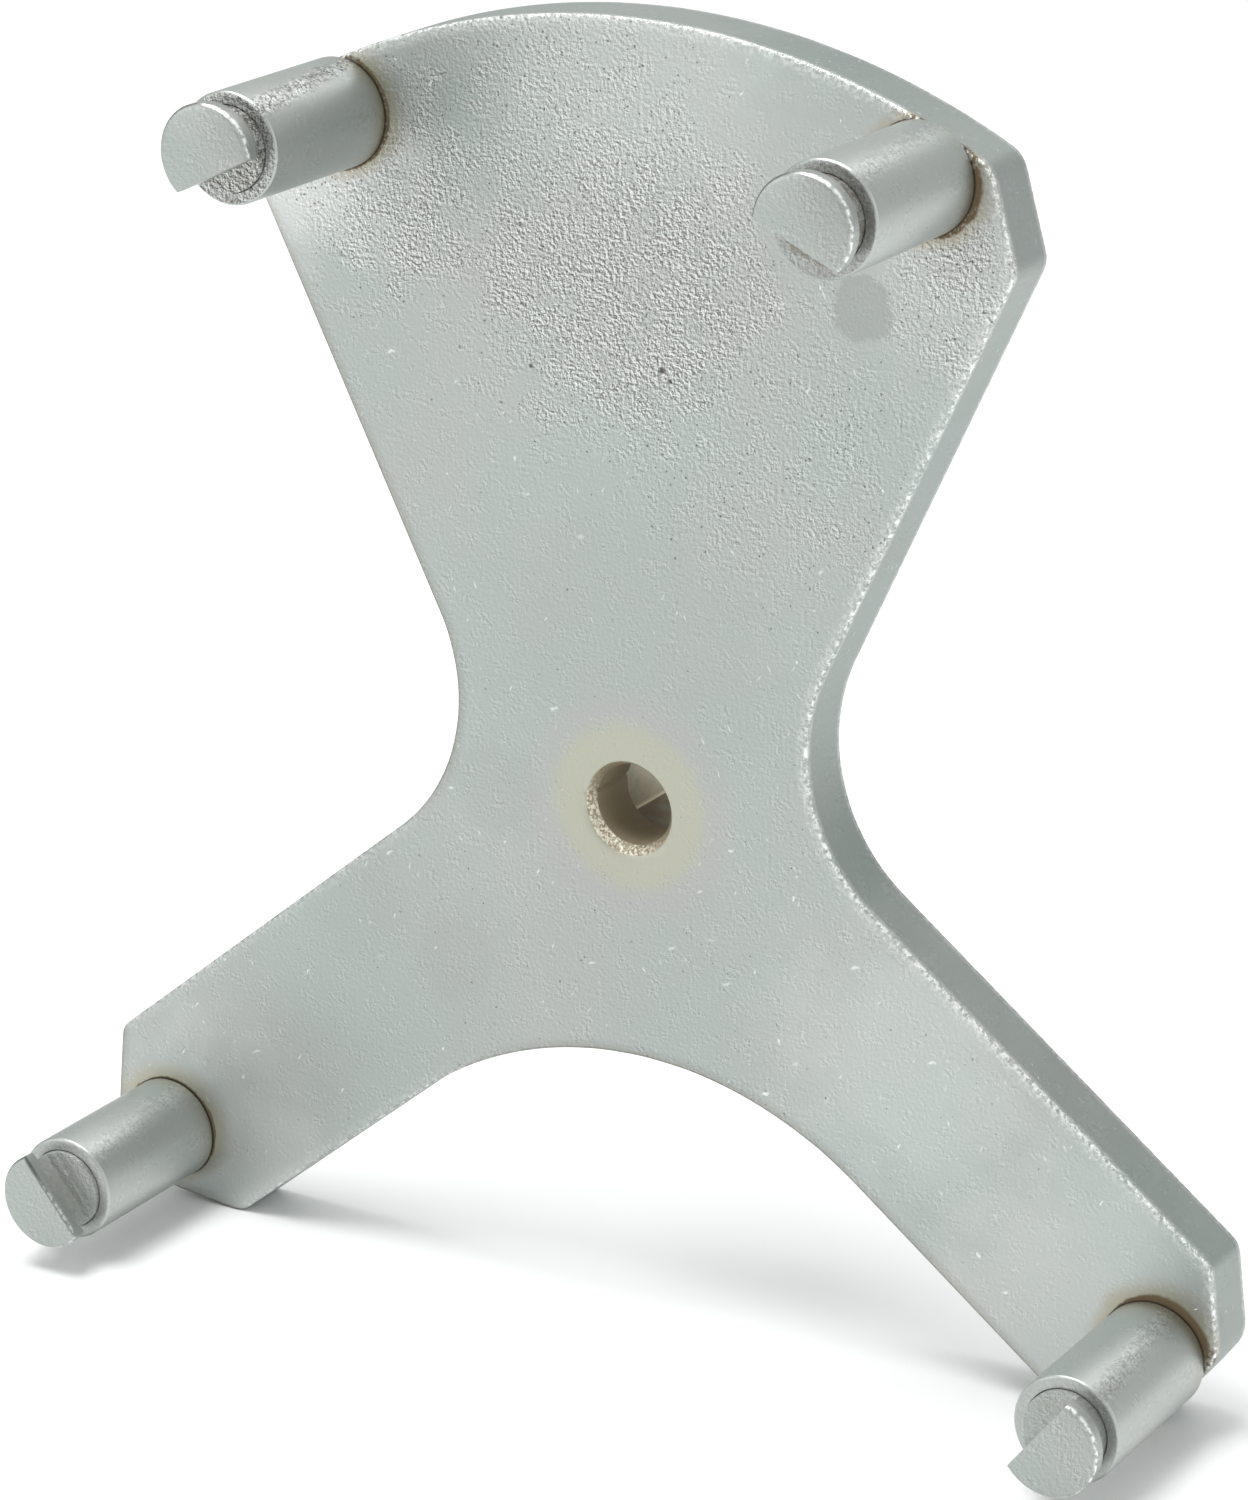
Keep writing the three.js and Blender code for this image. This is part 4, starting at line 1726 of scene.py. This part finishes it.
@dataclass
class Wrench:
    """The whole wrench, placed from its frame.

    Attributes:
        weld_gap: From the hub's wall to the inner edge of its fillet.
        trims: What differs from one pin to the next.
    """

    weld_gap: float = 0.05 * MM
    trims: dict[Place, PinTrim] = field(default_factory=lambda: {
        Place.SECTOR_LEFT: PinTrim(
            1.8 * MM, foot_tint=0.5, darkening=0.45, pitting=1.0, scars=1.0,
            heat=HeatTint(lean=50, narrow=0.22, wide=0.50, strength=0.9, spread=2.6, wash=0.65),
        ),
        Place.SECTOR_RIGHT: PinTrim(
            1.5 * MM, foot_tint=0.30, darkening=0.85, pitting=0.45, scars=0.25,
            heat=HeatTint(lean=15, narrow=0.14, wide=0.70, strength=0.92, spread=2.4, wash=0.65),
        ),
        Place.ARM_RIGHT: PinTrim(
            1.3 * MM, foot_tint=0.55, darkening=0.2, pitting=0.1, scars=0.35,
            heat=HeatTint(lean=25, narrow=0.12, wide=0.90, strength=0.92, spread=3.0, wash=0.7),
        ),
        Place.ARM_LEFT: PinTrim(
            1.0 * MM, foot_tint=0.25, darkening=0.2, pitting=0.15, scars=0.2,
            heat=HeatTint(lean=60, narrow=0.12, wide=0.26, strength=0.8, spread=2.4, wash=0.60),
        ),
    })

    def __post_init__(self) -> None:
        """Reads the places of the frame."""
        low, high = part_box("spider_plate")
        self.front, self.back = low[1], high[1]
        self.hub_axis = Datum.at_node("drive_hub", self.front)
        self.pins = {place: Datum.at_node(f"sleeve_{place.value}", self.front) for place in Place}

    @staticmethod
    def radius_and_length(node: str) -> tuple[float, float]:
        """Gives the radius and the length along Y of a round CAD node."""
        low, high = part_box(node)
        return (high[0] - low[0]) / 2, high[1] - low[1]

    def plate(self) -> dict[str, bpy.types.Object]:
        """Builds the plate."""
        sleeve_radius, _ = self.radius_and_length("sleeve_arm_left")
        plate = SpiderPlate(self.hub_axis, self.pins, self.back - self.front)
        piece = plate.build()
        plate.dress(piece, {place: trim.heat for place, trim in self.trims.items()}, sleeve_radius)
        return {"spider_plate": piece}

    def hub(self) -> dict[str, bpy.types.Object]:
        """Builds the hub."""
        datum = Datum(self.hub_axis.across, self.hub_axis.up, self.back)
        return {"drive_hub": DriveHub(datum, *self.radius_and_length("drive_hub")).build()}

    def stations(self) -> dict[str, bpy.types.Object]:
        """Builds the four pins with their sleeves."""
        pieces = {}
        for place in Place:
            station = PinStation(
                place, self.pins[place], self.hub_axis, self.trims[place], self.back - self.front,
                *self.radius_and_length(f"sleeve_{place.value}"),
            )
            pieces |= station.build()
        return pieces

    def welds(self) -> dict[str, bpy.types.Object]:
        """Builds the hub's fillet and the plug over each spigot."""
        fillet, plug = BeadTree(BeadShape.FILLET), BeadTree(BeadShape.PLUG)
        inner = self.radius_and_length("drive_hub")[0] + self.weld_gap
        outer, height = self.radius_and_length("hub_weld")
        datum = Datum(self.hub_axis.across, self.hub_axis.up, self.back)
        bead = Weld(
            "hub_bead", datum, fillet, inner, outer - inner, height, ripples=46, relief=0.30 * MM, seed=3.0
        )
        pieces = {"hub_weld": bead.build()}
        for number, (place, pin) in enumerate(self.pins.items()):
            node = f"pin_weld_{place.value}"
            radius, height = self.radius_and_length(node)
            datum = Datum(pin.across, pin.up, self.back)
            bead = Weld(
                f"bead_{place.value}", datum, plug, 0.0, radius, height,
                ripples=4, relief=0.16 * MM, seed=7.0 + 2.3 * number,
            )
            pieces[node] = bead.build()
        return pieces

    def build(self) -> None:
        """Builds every piece and ties it to the CAD node that it stands for."""
        for group in (self.plate, self.hub, self.stations, self.welds):
            for node, piece in group().items():
                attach(piece, BODY)
                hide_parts(node)
                log.info("%s stands for %s with %d faces", piece.name, node, len(piece.data.polygons))


# Studio


@dataclass(frozen=True)
class SoftLight:
    """One soft rectangular light.

    Attributes:
        name: The light's name.
        place: Where it hangs.
        aim: The point that it faces.
        size: Width and height.
        power: Watts.
    """

    name: str
    place: tuple[float, float, float]
    aim: tuple[float, float, float]
    size: tuple[float, float]
    power: float

    def hang(self) -> None:
        """Hangs the light."""
        lamp = bpy.data.lights.new(self.name, "AREA")
        lamp.shape = "RECTANGLE"
        lamp.size, lamp.size_y = self.size
        lamp.energy = self.power
        holder = linked(self.name, lamp)
        holder.location = self.place
        holder.rotation_euler = (Vector(self.aim) - Vector(self.place)).to_track_quat("-Z", "Y").to_euler()


@dataclass
class Studio:
    """The pale floor, soft light and camera round the wrench.

    Attributes:
        target: The point that the camera looks at.
        azimuth: How far the camera is turned from the front towards +X, in degrees.
        elevation: How far it is raised, in degrees.
        roll: How far it is turned about its own axis, in degrees.
        distance: From the target to the camera.
        lens: Focal length in millimetres, on a sensor of sensor_width.
        floor_half: Half the floor's width.
        sky: How strong the even light is.
    """

    target: Vector
    azimuth: float = 30.98
    elevation: float = 18.89
    roll: float = -0.80
    distance: float = 0.4633
    lens: float = 124.55
    sensor_width: float = 36.0
    clip: tuple[float, float] = (0.01, 50.0)
    floor_half: float = 4.0
    sky: float = 0.63
    sky_colour: tuple[float, float, float, float] = (0.97, 1.0, 0.99, 1.0)
    lights: tuple[SoftLight, ...] = (
        SoftLight("overhead", (-0.20, -0.15, 1.1), (0, 0, 0.05), (0.7, 0.5), 9.0),
        SoftLight("behind", (0.12, 0.40, 1.0), (0, 0, 0.06), (0.30, 0.9), 1.7),
        SoftLight("front_left", (-1.0, -1.0, 0.55), (0, 0, 0.06), (0.9, 0.9), 4.5),
        SoftLight("right_side", (1.2, -0.1, 0.5), (0, 0, 0.06), (0.6, 0.8), 2.0),
    )

    def camera(self) -> None:
        """Places the camera."""
        turn, rise = math.radians(self.azimuth), math.radians(self.elevation)
        back = Vector((math.sin(turn) * math.cos(rise), -math.cos(turn) * math.cos(rise), math.sin(rise)))
        data = bpy.data.cameras.new("camera")
        data.lens = self.lens
        data.sensor_width = self.sensor_width
        data.clip_start, data.clip_end = self.clip
        holder = linked("camera", data)
        holder.location = self.target + back * self.distance
        facing = (-back).to_track_quat("-Z", "Y").to_matrix().to_4x4()
        tilt = Matrix.Rotation(math.radians(self.roll), 4, "Z")
        holder.matrix_world = Matrix.Translation(holder.location) @ facing @ tilt
        bpy.context.scene.camera = holder

    def floor(self) -> None:
        """Lays the floor."""
        draft = MeshDraft()
        half = self.floor_half
        ring = draft.ring(Vector((x * half, y * half, 0)) for x, y in ((-1, -1), (1, -1), (1, 1), (-1, 1)))
        draft.bm.faces.new(ring)
        piece = draft.to_object("floor")
        bench = ShaderBench("studio_floor")
        point = bench.out(bench.node("ShaderNodeTexCoord"), "Object")
        cloud = bench.noise(point, 1.5, 2)
        colour = bench.mix(cloud, TONES.floor, TONES.floor_pale)
        bench.tree.links.new(colour.socket, bench.shader.inputs["Base Color"])
        bench.shader.inputs["Roughness"].default_value = 0.8
        bench.shader.inputs["Specular IOR Level"].default_value = 0.1
        piece.data.materials.append(bench.material)

    def world(self) -> None:
        """Lights the room evenly."""
        world = bpy.data.worlds.new("studio")
        world.use_nodes = True
        background = world.node_tree.nodes["Background"]
        background.inputs["Color"].default_value = self.sky_colour
        background.inputs["Strength"].default_value = self.sky
        bpy.context.scene.world = world

    def build(self) -> None:
        """Sets the studio up."""
        self.camera()
        self.floor()
        self.world()
        for light in self.lights:
            light.hang()
        bpy.context.scene.view_settings.view_transform = "Standard"
        log.info("studio is ready")


def main() -> None:
    """Builds the wrench and its studio."""
    logging.basicConfig(level=logging.INFO, format="%(name)s: %(message)s")
    wrench = Wrench()
    wrench.build()
    Studio(target=wrench.hub_axis.point(*CAMERA_AIM)).build()


if __name__ == "__main__":
    main()
